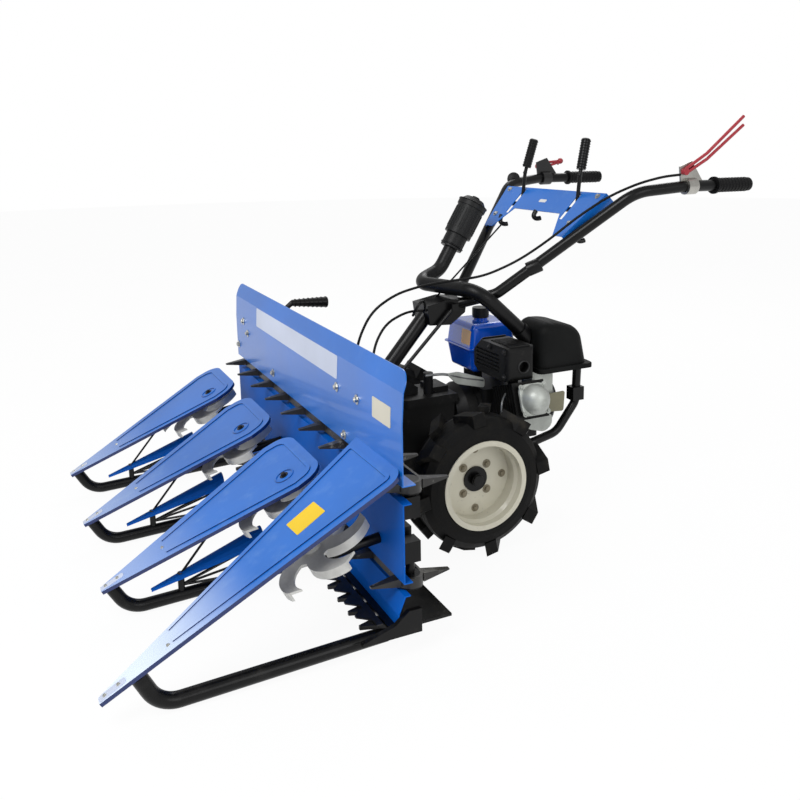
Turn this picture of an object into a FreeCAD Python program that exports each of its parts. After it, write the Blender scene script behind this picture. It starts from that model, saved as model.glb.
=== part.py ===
import FreeCAD, Part
import math
import os
import re
import Sketcher

# Walk-behind reaper with a 1.3 m cutting header, millimetres.
# +X is the machine's left, -Y its front, +Z up. Places are measured from the wheel axle
# (y = 0) and the floor (z = 0); every sub-part's Placement then moves it along Y so that
# the origin lies under the middle of the machine.

V = FreeCAD.Vector
Rotation = FreeCAD.Rotation
Placement = FreeCAD.Placement
doc = FreeCAD.newDocument("walk_behind_reaper")

# --------------------------------------------------------------- driving sizes
SIZES = [
    ("front_reach", 991, "axle line to the tip of the long divider"),
    ("rear_reach", 862, "axle line to the ends of the hand grips"),
    ("fit_gap", 0.1, "radial clearance of a shaft in its bearing"),
    # wheels
    ("wheel_radius", 200, "axle height and radius over the tread lugs"),
    ("carcass_radius", 180, "tyre radius between the lugs"),
    ("tyre_width", 96, "tyre section width"),
    ("tyre_middle", 294, "middle of the tyre from the machine's middle"),
    ("tread_lugs", 8, "lugs on each half of a tyre"),
    ("lug_bar_width", 35, "width of one tread lug"),
    ("lug_bar_angle", 38, "slant of a tread lug in degrees"),
    ("rim_radius", 121, "rim flange radius"),
    ("rim_well", 105, "radius of the rim well"),
    ("rim_wall", 3.5, "rim sheet thickness"),
    ("rim_seat", 10, "bead seat under the rim's flange"),
    ("bead_width_seat", 20, "width of a tyre bead on its seat"),
    ("tyre_wall", 24, "thickness of the tyre under its tread"),
    ("disc_inset", 58, "rim disc behind the outer flange"),
    ("disc_hole", 34, "radius of the rim's middle hole"),
    ("stud_circle", 100, "pitch circle of the wheel bolts"),
    ("stud_hole", 5.5, "radius of a wheel bolt hole"),
    ("vent_circle", 164, "circle of the small outer holes"),
    ("vent_hole", 4, "radius of a small outer hole"),
    ("hub_flange", 64, "wheel hub flange radius"),
    ("axle_radius", 17.5, "wheel axle radius"),
    # header boards
    ("board_face", -380, "front face of the boards along Y"),
    ("board_overhang", 52, "boards beyond the outer dividers' middles"),
    ("board_sheet", 2.5, "sheet thickness of the boards"),
    ("top_flange", 42, "height of the upper board's leaning flange over its fold"),
    ("board_fold", 583, "fold of the upper board's leaning flange"),
    ("board_crease", 517, "shallow crease of the upper board"),
    ("crease_lean", 4, "set-back at the fold"),
    ("top_lean", 18, "set-back at the top edge"),
    ("top_corner", 32, "rounded corners of the top flange"),
    ("upper_slot_top", 383, "underside of the upper board and its hood"),
    ("upper_slot_low", 345, "top edge of the lower board"),
    ("hood_depth", 30, "depth of the hood over the upper belt"),
    ("lower_board_low", 167, "bottom edge of the lower board"),
    ("strip_top", 133, "top of the bottom strip"),
    ("strip_low", 94, "bottom edge of the strip"),
    ("strip_toe", 16, "how far the strip's foot stands forward"),
    # belts
    ("pulley_inset", 52, "belt pulleys inside the boards' ends"),
    ("pulley_y", -342, "belt pulleys along Y"),
    ("belt_outer", 28, "outer radius of a belt round its pulley"),
    ("belt_thick", 6, "belt thickness"),
    ("belt_width", 24, "belt width up the pulley"),
    ("upper_belt_z", 366, "middle height of the upper belt"),
    ("lower_belt_z", 150, "middle height of the lower belt"),
    ("belt_lug_reach", 66, "length of a belt lug"),
    ("belt_lug_base", 26, "belt lug width at its root"),
    ("belt_lug_taper", 7, "taper of a belt lug in degrees"),
    ("pulley_shaft", 10, "radius of a belt pulley's shaft"),
    ("bearing_half", 18, "half width of a pulley's bearing block"),
    ("bearing_high", 48, "height of a pulley's bearing block"),
    ("bearing_lift", 26, "lower bearing blocks over the lower board's edge"),
    ("belt_lug_pitch", 150, "spacing of the lugs on a belt"),
    # header frame and cutter
    ("deck_thick", 6, "bottom plate thickness"),
    ("deck_back", -262, "rear edge of the bottom plate"),
    ("deck_front", -408, "front edge of the bottom plate"),
    ("post_size", 36, "side of a square upright"),
    ("beam_low", 205, "underside of the cross beam"),
    ("beam_high", 255, "top of the cross beam"),
    ("guard_tip", -458, "tips of the cutter guards along Y"),
    ("guard_root", -402, "roots of the guard fingers"),
    ("guard_low", 50, "underside of the guards"),
    ("guard_thick", 9, "thickness of the guards"),
    ("tooth_pitch", 65, "pitch of guards and knife sections"),
    ("finger_half", 22, "half width of a guard finger at its root"),
    ("knife_gap", 1, "knife above the guards and below the deck"),
    ("knife_thick", 3, "knife section thickness"),
    ("knife_stroke", 26, "knife travel to each side"),
    ("shoe_front", -477, "front of an end shoe"),
    ("shoe_back", -340, "back of an end shoe"),
    ("shoe_high", 104, "top of an end shoe"),
    ("shoe_thick", 12, "thickness of an end shoe"),
    # dividers
    ("divider_pitch", 400, "spacing of the dividers"),
    ("cover_tip", -941, "tips of the short divider covers"),
    ("cover_tip_z", 78, "height of those tips"),
    ("cover_slope", 26.7, "slope of the short covers in degrees"),
    ("cover_length", 563, "length of a short cover along its slope"),
    ("shoulder_back", 75, "widest place of a short cover ahead of its rear edge"),
    ("cover_half", 143, "half width of a short cover"),
    ("nose_half", 11, "half width of a cover's nose"),
    ("cover_corner", 55, "rear corner radius of a short cover"),
    ("cover_depth", 9, "depth of a cover's folded edge"),
    ("cover_sheet", 2.5, "cover sheet thickness"),
    ("bead_start", 165, "front ends of the pressed bead behind a cover's nose"),
    ("bead_inset", 20, "bead inside the cover's edge"),
    ("bead_width", 9, "width of the pressed bead"),
    ("bead_high", 2.5, "height of the pressed bead"),
    ("long_tip_z", 60, "height of the long cover's tip"),
    ("long_slope", 30.2, "slope of the long cover in degrees"),
    ("long_inner", -198, "inner rear corner of the long cover from its tip"),
    ("long_outer", 58, "outer rear corner of the long cover from its tip"),
    ("long_corner", 34, "rear corner radius of the long cover"),
    # skids
    ("skid_tube", 15, "radius of a short skid's tube"),
    ("long_skid_tube", 16.5, "radius of the long skid's tube"),
    ("skid_bend", 62, "bend radius of a skid"),
    ("skid_toe", -882, "where a skid turns up"),
    ("skid_head", -918, "top of a skid's nose"),
    ("skid_heel", -402, "rear end of a skid"),
    # star wheels
    ("star_y", -537, "star wheel centres along Y"),
    ("star_drop", 46, "star plane under the short covers"),
    ("star_radius", 131, "star wheel radius"),
    ("star_root", 52, "radius of the star's valleys"),
    ("star_arms", 6, "arms of a star wheel"),
    ("star_plate", 6, "thickness of the star's plate"),
    ("star_rib", 16, "depth of the ribs under the star's arms"),
    ("star_hub", 24, "star hub radius"),
    ("star_hub_length", 40, "star hub length"),
    ("star_pin", 9, "radius of a star wheel's pin"),
    ("long_star_shift", 78, "star of the long divider, towards the middle"),
    # lower dividers
    ("pod_tip", -830, "tips of the lower dividers"),
    ("pod_tip_z", 47, "height of those tips"),
    ("pod_end", -560, "rear ends of the lower dividers"),
    ("pod_end_z", 118, "height of the rear ends"),
    ("pod_half", 32, "half width of a lower divider's rear end"),
    ("pod_rise", 34, "crown of a lower divider's rear end"),
    ("post_setback", 70, "post of a lower divider behind its tip"),
    ("post_radius", 8, "radius of that post"),
    ("rod_radius", 3, "radius of the lifter rods and stays"),
    # gearbox and coupling
    ("gearbox_half", 62, "half width of the gearbox"),
    ("gearbox_front", -114, "front face of the gearbox"),
    ("gearbox_back", 66, "rear face of the gearbox"),
    ("gearbox_low", 140, "underside of the gearbox"),
    ("gearbox_top", 345, "joint face under the gearbox cover"),
    ("cover_plate", 24, "thickness of the gearbox cover"),
    ("axle_horn", 205, "ends of the axle housings from the middle"),
    ("axle_horn_radius", 38, "radius of an axle housing"),
    ("axle_seat", 60, "length of an axle inside its housing"),
    ("coupling_radius", 58, "radius of the header coupling"),
    ("coupling_z", 262, "height of the header coupling"),
    ("crank_z", 292, "height of the crankshaft and of the clutch housing"),
    ("clutch_radius", 94, "radius of the clutch housing"),
    ("peg_radius", 14, "radius of the shift peg"),
    ("peg_length", 62, "length of the shift peg"),
    # engine
    ("engine_front", 140, "front face of the crankcase"),
    ("engine_back", 332, "rear face of the crankcase"),
    ("engine_half", 88, "half width of the crankcase"),
    ("engine_low", 205, "underside of the crankcase"),
    ("engine_high", 372, "top of the crankcase"),
    ("cylinder_y", 212, "cylinder axis along Y"),
    ("cylinder_tilt", 19, "rise of the cylinder in degrees"),
    ("cylinder_reach", 252, "joint face of the rocker cover from the crankshaft"),
    ("cylinder_half", 40, "half size of the cylinder inside its fins"),
    ("fin_half", 52, "half size of a cooling fin"),
    ("fins", 9, "cooling fins"),
    ("fin_pitch", 13, "spacing of the cooling fins"),
    ("fin_back", 14, "last cooling fin behind the rocker cover's joint"),
    ("fin_thick", 4, "thickness of a cooling fin"),
    ("rocker_half", 46, "half size of the rocker cover's flange"),
    ("rocker_flange", 8, "thickness of the rocker cover's flange"),
    ("rocker_dome", 48, "depth of the rocker cover's dome"),
    ("recoil_radius", 96, "radius of the fan housing"),
    ("recoil_depth", 62, "depth of the fan housing"),
    ("starter_radius", 66, "radius of the starter's cup"),
    ("starter_depth", 24, "depth of the starter's cup"),
    ("tank_right", -140, "right side of the fuel tank"),
    ("tank_left", 25, "left side of the fuel tank"),
    ("tank_length", 152, "length of the fuel tank"),
    ("tank_seam", 476, "height of the fuel tank's seam"),
    ("tank_below", 74, "tank under its seam"),
    ("tank_above", 72, "tank above its seam"),
    ("seam_lip", 5, "how far the tank's seam stands out"),
    ("neck_radius", 21, "radius of the filler neck"),
    ("cap_radius", 25, "radius of the filler cap"),
    ("cap_height", 30, "height of the filler cap"),
    ("muffler_right", 33, "right side of the muffler's guard"),
    ("muffler_left", 215, "left side of the muffler's guard"),
    ("muffler_depth", 90, "length of the muffler's guard"),
    ("muffler_low", 423, "underside of the muffler's guard"),
    ("muffler_high", 519, "top of the muffler's guard"),
    ("louvres", 5, "louvres of the muffler's guard"),
    ("louvre_pitch", 11, "spacing of the louvres"),
    ("outlet_radius", 15, "radius of the exhaust outlet"),
    ("cleaner_right", 50, "right side of the air cleaner"),
    ("cleaner_left", 200, "left side of the air cleaner"),
    ("cleaner_front", 257, "front of the air cleaner"),
    ("cleaner_back", 433, "back of the air cleaner"),
    ("cleaner_low", 430, "underside of the air cleaner"),
    ("cleaner_high", 580, "top of the air cleaner"),
    ("cleaner_lip", 7, "how far the air cleaner's lip stands out"),
    ("guard_tube", 12.5, "radius of the rear guard's tube"),
    # intake
    ("hose_radius", 21, "radius of the intake hose"),
    ("can_radius", 42, "radius of the pre-cleaner"),
    ("can_length", 92, "length of the pre-cleaner's upper part"),
    ("cup_radius", 34, "radius of the pre-cleaner's lower cup"),
    ("cup_length", 44, "length of the pre-cleaner's lower cup"),
    # handlebar
    ("handle_tube", 15.5, "radius of a handlebar tube"),
    ("grip_x", 340, "ends of the hand grips from the middle"),
    ("grip_z", 944, "height of the hand grips"),
    ("grip_run", 242, "straight end of a handlebar tube"),
    ("grip_radius", 19, "radius of a hand grip"),
    ("grip_length", 134, "length of a hand grip"),
    ("column_tube", 22, "radius of the handlebar column"),
    ("column_foot_y", -250, "foot of the handlebar column along Y"),
    ("column_head_y", 20, "head of the handlebar column along Y"),
    ("column_head_z", 612, "head of the handlebar column"),
    ("seat_half", 48, "half width of the handlebar's clamp block"),
    ("console_half", 254, "half width of the console's rear edge"),
    ("console_y", 433, "rear edge of the console along Y"),
    ("console_z", 930, "height of the console's rear edge"),
    ("console_leg", 115, "depth of the console along Y"),
    ("console_notch", 55, "depth of the console's notch from its legs' ends"),
    ("notch_half", 120, "half width of the notch"),
    ("console_sheet", 2.5, "sheet thickness of the console"),
    ("console_taper", 0.18, "share of its width that the console loses towards its front"),
    ("console_flange", 34, "depth of the console's folded sides"),
    ("slot_width", 15, "width of a lever slot"),
    ("slot_length", 68, "length of a lever slot along Y"),
    ("lever_x", 142, "shift levers from the middle"),
    ("lever_rod", 5.5, "radius of a shift lever"),
    ("lever_grip", 13, "radius of a shift lever's grip"),
    ("lever_top", 1075, "top of the shift levers"),
    ("lever_grip_length", 86, "length of a shift lever's grip"),
    ("lever_pivot_back", 35, "shift levers' pivot forwards of the console's rear edge"),
    ("clutch_root", 252, "root of the clutch lever ahead of the grips' ends"),
    ("clutch_tip", 42, "tip of the clutch lever ahead of the grips' ends"),
    ("clutch_rise", 188, "rise of the clutch lever over the grips"),
    ("blade_radius", 4.5, "radius of a clutch lever's blade"),
    ("bracket_sheet", 5, "thickness of a clutch lever's bracket"),
    ("header_grip", 17, "radius of the header lever's grip at its end"),
    ("link_radius", 5, "radius of the link rod"),
    ("link_x", 60, "link rod from the middle"),
    ("cable_radius", 3.5, "radius of a control cable"),
]
sheet = doc.addObject("Spreadsheet::Sheet", "sizes")
for row, (alias, value, note) in enumerate(SIZES, start=1):
    sheet.set(f"A{row}", alias)
    sheet.set(f"B{row}", str(value))
    sheet.setAlias(f"B{row}", alias)
    sheet.set(f"C{row}", note)
doc.recompute()
NAMES = {alias for alias, value, note in SIZES}
MIDDLE_SHIFT = "(sizes.front_reach - sizes.rear_reach) / 2"
BOARD_HALF = "(1.5 * divider_pitch + board_overhang)"
PULLEY_X = f"({BOARD_HALF} - pulley_inset)"
GUARD_HALF = f"({BOARD_HALF} - shoe_thick)"
BOARD_TOP = "(board_fold + top_flange)"
SHOULDER = "(cover_length - shoulder_back)"
TEETH = f"floor(2 * ({GUARD_HALF} - finger_half) / tooth_pitch)"
BELT_LUGS = f"(floor(2 * {PULLEY_X} / belt_lug_pitch) + 1)"
SIDE_SHIFT = "(sizes.cover_half - sizes.long_outer) / 2"
subparts = []


# --------------------------------------------------------------- helpers
def bound(text):
    """Expression text with the sheet's name put before each of its aliases."""
    return re.sub(r"[a-z_]+", lambda m: "sizes." + m[0] if m[0] in NAMES else m[0], str(text))


def size(text):
    """Value of an expression on the sheet."""
    return float(sheet.evalExpression(bound(text).replace("sizes.", "")))


def point(x, y, z):
    return V(size(x), size(y), size(z))


def keep(item, label, x="0", y="0"):
    """Name a finished sub-part and move it from the axle frame to the machine frame."""
    item.Label = label
    item.setExpression("Placement.Base.x", f"({bound(x)}) + {SIDE_SHIFT}")
    item.setExpression("Placement.Base.y", f"({bound(y)}) + {MIDDLE_SHIFT}")
    subparts.append(item)
    return item


def keep_shape(shape, label):
    """A sub-part whose shape comes from Part's own functions."""
    feature = doc.addObject("Part::Feature", label)
    feature.Shape = shape
    return keep(feature, label)


def new_body(label, x="0", y="0", z="0", tilt=None):
    """A body, placed from the axle frame and turned about X by tilt degrees."""
    body = doc.addObject("PartDesign::Body", label)
    if tilt is not None:
        body.Placement = Placement(V(), Rotation(V(1, 0, 0), 1))
        body.setExpression("Placement.Rotation.Angle", bound(tilt))
    body.setExpression("Placement.Base.x", f"({bound(x)}) + {SIDE_SHIFT}")
    body.setExpression("Placement.Base.y", f"({bound(y)}) + {MIDDLE_SHIFT}")
    body.setExpression("Placement.Base.z", bound(z))
    subparts.append(body)
    return body


def origin_feature(body, role):
    return next(f for f in body.Origin.OriginFeatures if f.Role == role)


def new_sketch(body, name, role, offset="0"):
    sketch = body.newObject("Sketcher::SketchObject", name)
    sketch.AttachmentSupport = (origin_feature(body, role), [""])
    sketch.MapMode = "FlatFace"
    sketch.setExpression("AttachmentOffset.Base.z", bound(offset))
    return sketch


def pin_point(sketch, geometry, end, x, y):
    """Hold one point of a sketch at expressions x, y."""
    for kind, text in (("DistanceX", x), ("DistanceY", y)):
        made = sketch.addConstraint(Sketcher.Constraint(kind, -1, 1, geometry, end, size(text)))
        sketch.setExpression(f"Constraints[{made}]", bound(text))


def outline(sketch, corners):
    """Closed outline of straight lines through corners given as expression pairs."""
    first = sketch.GeometryCount
    places = [V(size(x), size(y), 0) for x, y in corners]
    count = len(corners)
    for i in range(count):
        sketch.addGeometry(Part.LineSegment(places[i], places[(i + 1) % count]), False)
    for i in range(count):
        following = first + (i + 1) % count
        sketch.addConstraint(Sketcher.Constraint("Coincident", first + i, 2, following, 1))
    for i, (x, y) in enumerate(corners):
        pin_point(sketch, first + i, 1, x, y)


def circle(sketch, x, y, radius):
    centre = V(size(x), size(y), 0)
    made = sketch.addGeometry(Part.Circle(centre, V(0, 0, 1), size(radius)), False)
    pin_point(sketch, made, 3, x, y)
    held = sketch.addConstraint(Sketcher.Constraint("Radius", made, size(radius)))
    sketch.setExpression(f"Constraints[{held}]", bound(radius))


def stadium(sketch, half, y, radius):
    """Two half circles at +-half joined by straight runs."""
    reach, middle, r = size(half), size(y), size(radius)
    left = Part.ArcOfCircle(Part.Circle(V(-reach, middle, 0), V(0, 0, 1), r), math.pi / 2, 1.5 * math.pi)
    right = Part.ArcOfCircle(Part.Circle(V(reach, middle, 0), V(0, 0, 1), r), -math.pi / 2, math.pi / 2)
    first = sketch.addGeometry(left, False)
    sketch.addGeometry(Part.LineSegment(V(-reach, middle - r, 0), V(reach, middle - r, 0)), False)
    sketch.addGeometry(right, False)
    sketch.addGeometry(Part.LineSegment(V(reach, middle + r, 0), V(-reach, middle + r, 0)), False)
    for i in range(4):
        sketch.addConstraint(Sketcher.Constraint("Tangent", first + i, 2, first + (i + 1) % 4, 1))
    pin_point(sketch, first, 3, f"-({half})", y)
    pin_point(sketch, first + 2, 3, half, y)
    held = sketch.addConstraint(Sketcher.Constraint("Radius", first, r))
    sketch.setExpression(f"Constraints[{held}]", bound(radius))


def corner_notch(sketch, x, y, inset, radius):
    """What is cut away to round an upper corner at x, y; inset has the sign of its side."""
    sign = math.copysign(1, size(inset))
    r = size(radius)
    top = V(size(x) - sign * r, size(y), 0)
    corner = V(size(x), size(y), 0)
    low = V(size(x), size(y) - r, 0)
    middle = V(top.x, low.y, 0)
    angles = (0, math.pi / 2) if sign > 0 else (math.pi / 2, math.pi)
    first = sketch.addGeometry(Part.LineSegment(top, corner), False)
    sketch.addGeometry(Part.LineSegment(corner, low), False)
    arc = sketch.addGeometry(Part.ArcOfCircle(Part.Circle(middle, V(0, 0, 1), r), *angles), False)
    sketch.addConstraint(Sketcher.Constraint("Coincident", first, 2, first + 1, 1))
    at_low, at_top = (1, 2) if sign > 0 else (2, 1)
    sketch.addConstraint(Sketcher.Constraint("Coincident", arc, at_low, first + 1, 2))
    sketch.addConstraint(Sketcher.Constraint("Coincident", arc, at_top, first, 1))
    pin_point(sketch, first, 1, f"({x}) - ({inset})", y)
    pin_point(sketch, first, 2, x, y)
    pin_point(sketch, first + 1, 2, x, f"({y}) - ({radius})")
    held = sketch.addConstraint(Sketcher.Constraint("Radius", arc, r))
    sketch.setExpression(f"Constraints[{held}]", bound(radius))


def pad(body, sketch, length, midplane=False, backwards=False, taper=None):
    made = body.newObject("PartDesign::Pad", sketch.Name + "_pad")
    made.Profile = sketch
    made.Midplane = midplane
    made.Reversed = backwards
    made.setExpression("Length", bound(length))
    if taper is not None:
        made.setExpression("TaperAngle", bound(taper))
    doc.recompute()
    return made


def pocket(body, sketch, length, midplane=False, backwards=False):
    before = body.Shape.Volume
    made = body.newObject("PartDesign::Pocket", sketch.Name + "_cut")
    made.Profile = sketch
    made.Midplane = midplane
    made.Reversed = backwards
    made.setExpression("Length", bound(length))
    doc.recompute()
    assert made.Shape.Volume < before, sketch.Name
    return made


def revolve(body, sketch, role):
    made = body.newObject("PartDesign::Revolution", sketch.Name + "_turned")
    made.Profile = sketch
    made.ReferenceAxis = (origin_feature(body, role), [""])
    made.Angle = 360
    doc.recompute()
    return made


def polar(body, features, role, count):
    made = body.newObject("PartDesign::PolarPattern", features[0].Name + "_ring")
    made.Originals = features
    made.Axis = (origin_feature(body, role), [""])
    made.Angle = 360
    made.setExpression("Occurrences", bound(count))
    body.Tip = made
    doc.recompute()
    return made


def row_of(body, features, role, length, count):
    made = body.newObject("PartDesign::LinearPattern", features[0].Name + "_row")
    made.Originals = features
    made.Direction = (origin_feature(body, role), [""])
    made.setExpression("Length", bound(length))
    made.setExpression("Occurrences", bound(count))
    body.Tip = made
    doc.recompute()
    return made


def edges_where(shape, wanted):
    return [f"Edge{i}" for i, edge in enumerate(shape.Edges, start=1) if wanted(edge)]


def fillet(body, base, wanted, radius):
    made = body.newObject("PartDesign::Fillet", base.Name + "_rounded")
    made.Base = (base, edges_where(base.Shape, wanted))
    made.setExpression("Radius", bound(radius))
    doc.recompute()
    return made


def is_upright(edge):
    ends = [vertex.Point for vertex in edge.Vertexes]
    return len(ends) == 2 and abs(ends[0].x - ends[1].x) < 0.01 and abs(ends[0].y - ends[1].y) < 0.01


def block(name, x0, x1, y0, y1, z0, z1):
    """Part::Box between expressions, in the axle frame."""
    made = doc.addObject("Part::Box", name)
    for side, low, high, base in (("Length", x0, x1, "x"), ("Width", y0, y1, "y"), ("Height", z0, z1, "z")):
        made.setExpression(side, bound(f"({high}) - ({low})"))
        made.setExpression(f"Placement.Base.{base}", bound(low))
    return made


TURN = {"x": Rotation(V(0, 1, 0), 90), "y": Rotation(V(1, 0, 0), -90), "z": Rotation()}


def rod(name, along, x, y, z, radius, length):
    """Part::Cylinder that starts at x, y, z and runs along one axis."""
    made = doc.addObject("Part::Cylinder", name)
    made.Placement = Placement(V(), TURN[along])
    made.setExpression("Radius", bound(radius))
    made.setExpression("Height", bound(length))
    made.setExpression("Placement.Base.x", bound(x))
    made.setExpression("Placement.Base.y", bound(y))
    made.setExpression("Placement.Base.z", bound(z))
    return made


def fuse(name, items):
    made = doc.addObject("Part::MultiFuse", name)
    made.Shapes = items
    doc.recompute()
    return made


def cut(name, base, tool):
    made = doc.addObject("Part::Cut", name)
    made.Base = base
    made.Tool = tool
    doc.recompute()
    return made


def gather(name, items):
    """Several separate solids in one node."""
    made = doc.addObject("Part::Compound", name)
    made.Links = items
    doc.recompute()
    return made


def bent_path(places, radii):
    """Straight runs joined by tangent arcs; radii has one value per inner place."""
    edges = []
    start = places[0]
    for before, corner, after, radius in zip(places, places[1:], places[2:], radii):
        to_start = (before - corner).normalize()
        to_end = (after - corner).normalize()
        half_turn = (math.pi - to_start.getAngle(to_end)) / 2
        setback = radius * math.tan(half_turn)
        leave = corner + to_start * setback
        join = corner + to_end * setback
        inward = (to_start + to_end).normalize()
        middle = corner + inward * (radius / math.cos(half_turn) - radius)
        edges.append(Part.LineSegment(start, leave).toShape())
        edges.append(Part.Arc(leave, middle, join).toShape())
        start = join
    edges.append(Part.LineSegment(start, places[-1]).toShape())
    return Part.Wire(edges)


def tube_along(places, radii, radius):
    path = bent_path(places, radii)
    heading = places[1] - places[0]
    ring = Part.Wire([Part.Circle(places[0], heading, radius).toShape()])
    return path.makePipeShell([ring], True, False)


def bar_between(start, end, radius):
    heading = end - start
    return Part.makeCylinder(radius, heading.Length, start, heading)


def divider_x(index):
    return f"({index} - 1.5) * divider_pitch"


# --------------------------------------------------------------- wheels
def tyre(side, label):
    """Tyre turned about the axle, its beads on the rim's seats, with slanted tread lugs."""
    body = new_body(label, f"{side} * tyre_middle", "0", "wheel_radius")
    section = new_sketch(body, label + "_section", "XZ_Plane")
    seat = "rim_radius - rim_seat"
    shoulder = "carcass_radius - 22"
    outline(section, [
        ("-tyre_width / 2", seat), ("-tyre_width / 2", "rim_radius + 18"), ("-tyre_width / 2 + 3", shoulder),
        ("-tyre_width / 3", "carcass_radius - 4"), ("-tyre_width / 5", "carcass_radius"),
        ("tyre_width / 5", "carcass_radius"), ("tyre_width / 3", "carcass_radius - 4"),
        ("tyre_width / 2 - 3", shoulder), ("tyre_width / 2", "rim_radius + 18"), ("tyre_width / 2", seat),
        ("tyre_width / 2 - bead_width_seat", seat), ("tyre_width / 2 - tyre_wall", "carcass_radius - tyre_wall"),
        ("-tyre_width / 2 + tyre_wall", "carcass_radius - tyre_wall"), ("-tyre_width / 2 + bead_width_seat", seat),
    ])
    revolve(body, section, "X_Axis")
    lean = "(tan(lug_bar_angle) * (tyre_width / 2 - 4))"
    half_foot = f"({lean} / 2 + lug_bar_width / 2)"
    root = "(carcass_radius - 20)"
    top = f"sqrt(wheel_radius^2 - {half_foot}^2)"
    bars = []
    # the inner half of the tread is turned by half a pitch, and a lug's corner meets the floor
    for half, name, turn in ((1, "outer", "90 / tread_lugs"), (-1, "inner", "270 / tread_lugs")):
        bar = new_sketch(body, f"{label}_{name}_lug", "XY_Plane")
        bar.AttachmentOffset = Placement(V(), Rotation(V(1, 0, 0), 1))
        bar.setExpression("AttachmentOffset.Rotation.Angle", bound(turn))
        bar.setExpression("AttachmentOffset.Base.y", bound(f"-{root} * sin({turn})"))
        bar.setExpression("AttachmentOffset.Base.z", bound(f"{root} * cos({turn})"))
        near = f"{half} * 2"
        far = f"{half} * (tyre_width / 2 - 2)"
        outline(bar, [
            (near, f"-{half_foot}"), (far, f"{lean} / 2 - lug_bar_width / 2"),
            (far, half_foot), (near, f"-{lean} / 2 + lug_bar_width / 2"),
        ])
        bars.append(pad(body, bar, f"{top} - {root}"))
    polar(body, bars, "X_Axis", "tread_lugs")
    return body


def rim(side, label):
    """Pressed wheel: two flanges, a well and a recessed disc with its bolt holes."""
    body = new_body(label, f"{side} * tyre_middle", "0", "wheel_radius")
    out = f"{side} * (tyre_width / 2 - 2)"
    wall = "rim_wall"
    disc = f"{side} * (tyre_width / 2 - disc_inset)"
    section = new_sketch(body, label + "_section", "XZ_Plane")
    outline(section, [
        (f"{side} * (tyre_width / 2)", "rim_radius"), (f"{side} * (tyre_width / 2)", "rim_radius - rim_seat"),
        (f"{side} * (tyre_width / 2 - bead_width_seat)", "rim_radius - rim_seat"), (f"{side} * (tyre_width / 2 - 30)", "rim_well"),
        (f"-{side} * (tyre_width / 2 - 22)", "rim_well"), (f"-{side} * (tyre_width / 2 - 14)", "rim_radius - rim_seat"),
        (f"-{side} * (tyre_width / 2)", "rim_radius - rim_seat"), (f"-{side} * (tyre_width / 2)", "rim_radius"),
        (f"-{side} * (tyre_width / 2 + rim_wall)", "rim_radius"),
        (f"-{side} * (tyre_width / 2 + rim_wall)", "rim_radius - rim_seat - rim_wall"),
        (f"-{side} * (tyre_width / 2 - 14 + rim_wall)", "rim_radius - rim_seat - rim_wall"),
        (f"-{side} * (tyre_width / 2 - 22 + rim_wall)", "rim_well - rim_wall"),
        (f"{disc} - {side} * rim_wall", "rim_well - rim_wall"), (f"{disc} - {side} * rim_wall", "disc_hole"),
        (disc, "disc_hole"), (disc, "rim_well - rim_wall"),
        (f"{side} * (tyre_width / 2 - 30 + rim_wall)", "rim_well - rim_wall"),
        (f"{side} * (tyre_width / 2 - bead_width_seat + rim_wall)", "rim_radius - rim_seat - rim_wall"),
        (f"{side} * (tyre_width / 2 + rim_wall)", "rim_radius - rim_seat - rim_wall"),
        (f"{side} * (tyre_width / 2 + rim_wall)", "rim_radius"),
    ])
    revolve(body, section, "X_Axis")
    holes = new_sketch(body, label + "_holes", "YZ_Plane", f"{disc} + {side} * 4")
    diagonal = "stud_circle / 2 * sqrt(0.5)"
    circle(holes, diagonal, diagonal, "stud_hole")
    circle(holes, "0", "vent_circle / 2", "vent_hole")
    drilled = pocket(body, holes, "rim_wall + 8", backwards=side < 0)
    polar(body, [drilled], "X_Axis", "4")
    return body


def hub(side, label):
    """Axle with the flange that carries the rim's disc."""
    body = new_body(label, "0", "0", "wheel_radius")
    face = "(tyre_middle + tyre_width / 2 - disc_inset - rim_wall)"
    section = new_sketch(body, label + "_section", "XZ_Plane")
    inner = "(axle_horn - axle_seat)"
    outline(section, [
        (f"{side} * {inner}", "0"), (f"{side} * {inner}", "axle_radius"),
        (f"{side} * ({face} - 26)", "axle_radius"), (f"{side} * ({face} - 24)", "disc_hole - 6"),
        (f"{side} * ({face} - 8)", "disc_hole - 6"), (f"{side} * ({face} - 8)", "hub_flange"),
        (f"{side} * {face}", "hub_flange"), (f"{side} * {face}", "disc_hole - fit_gap"),
        (f"{side} * ({face} + 9)", "disc_hole - fit_gap"), (f"{side} * ({face} + 9)", "axle_radius"),
        (f"{side} * ({face} + 22)", "axle_radius"), (f"{side} * ({face} + 22)", "0"),
    ])
    revolve(body, section, "X_Axis")
    return body


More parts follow.
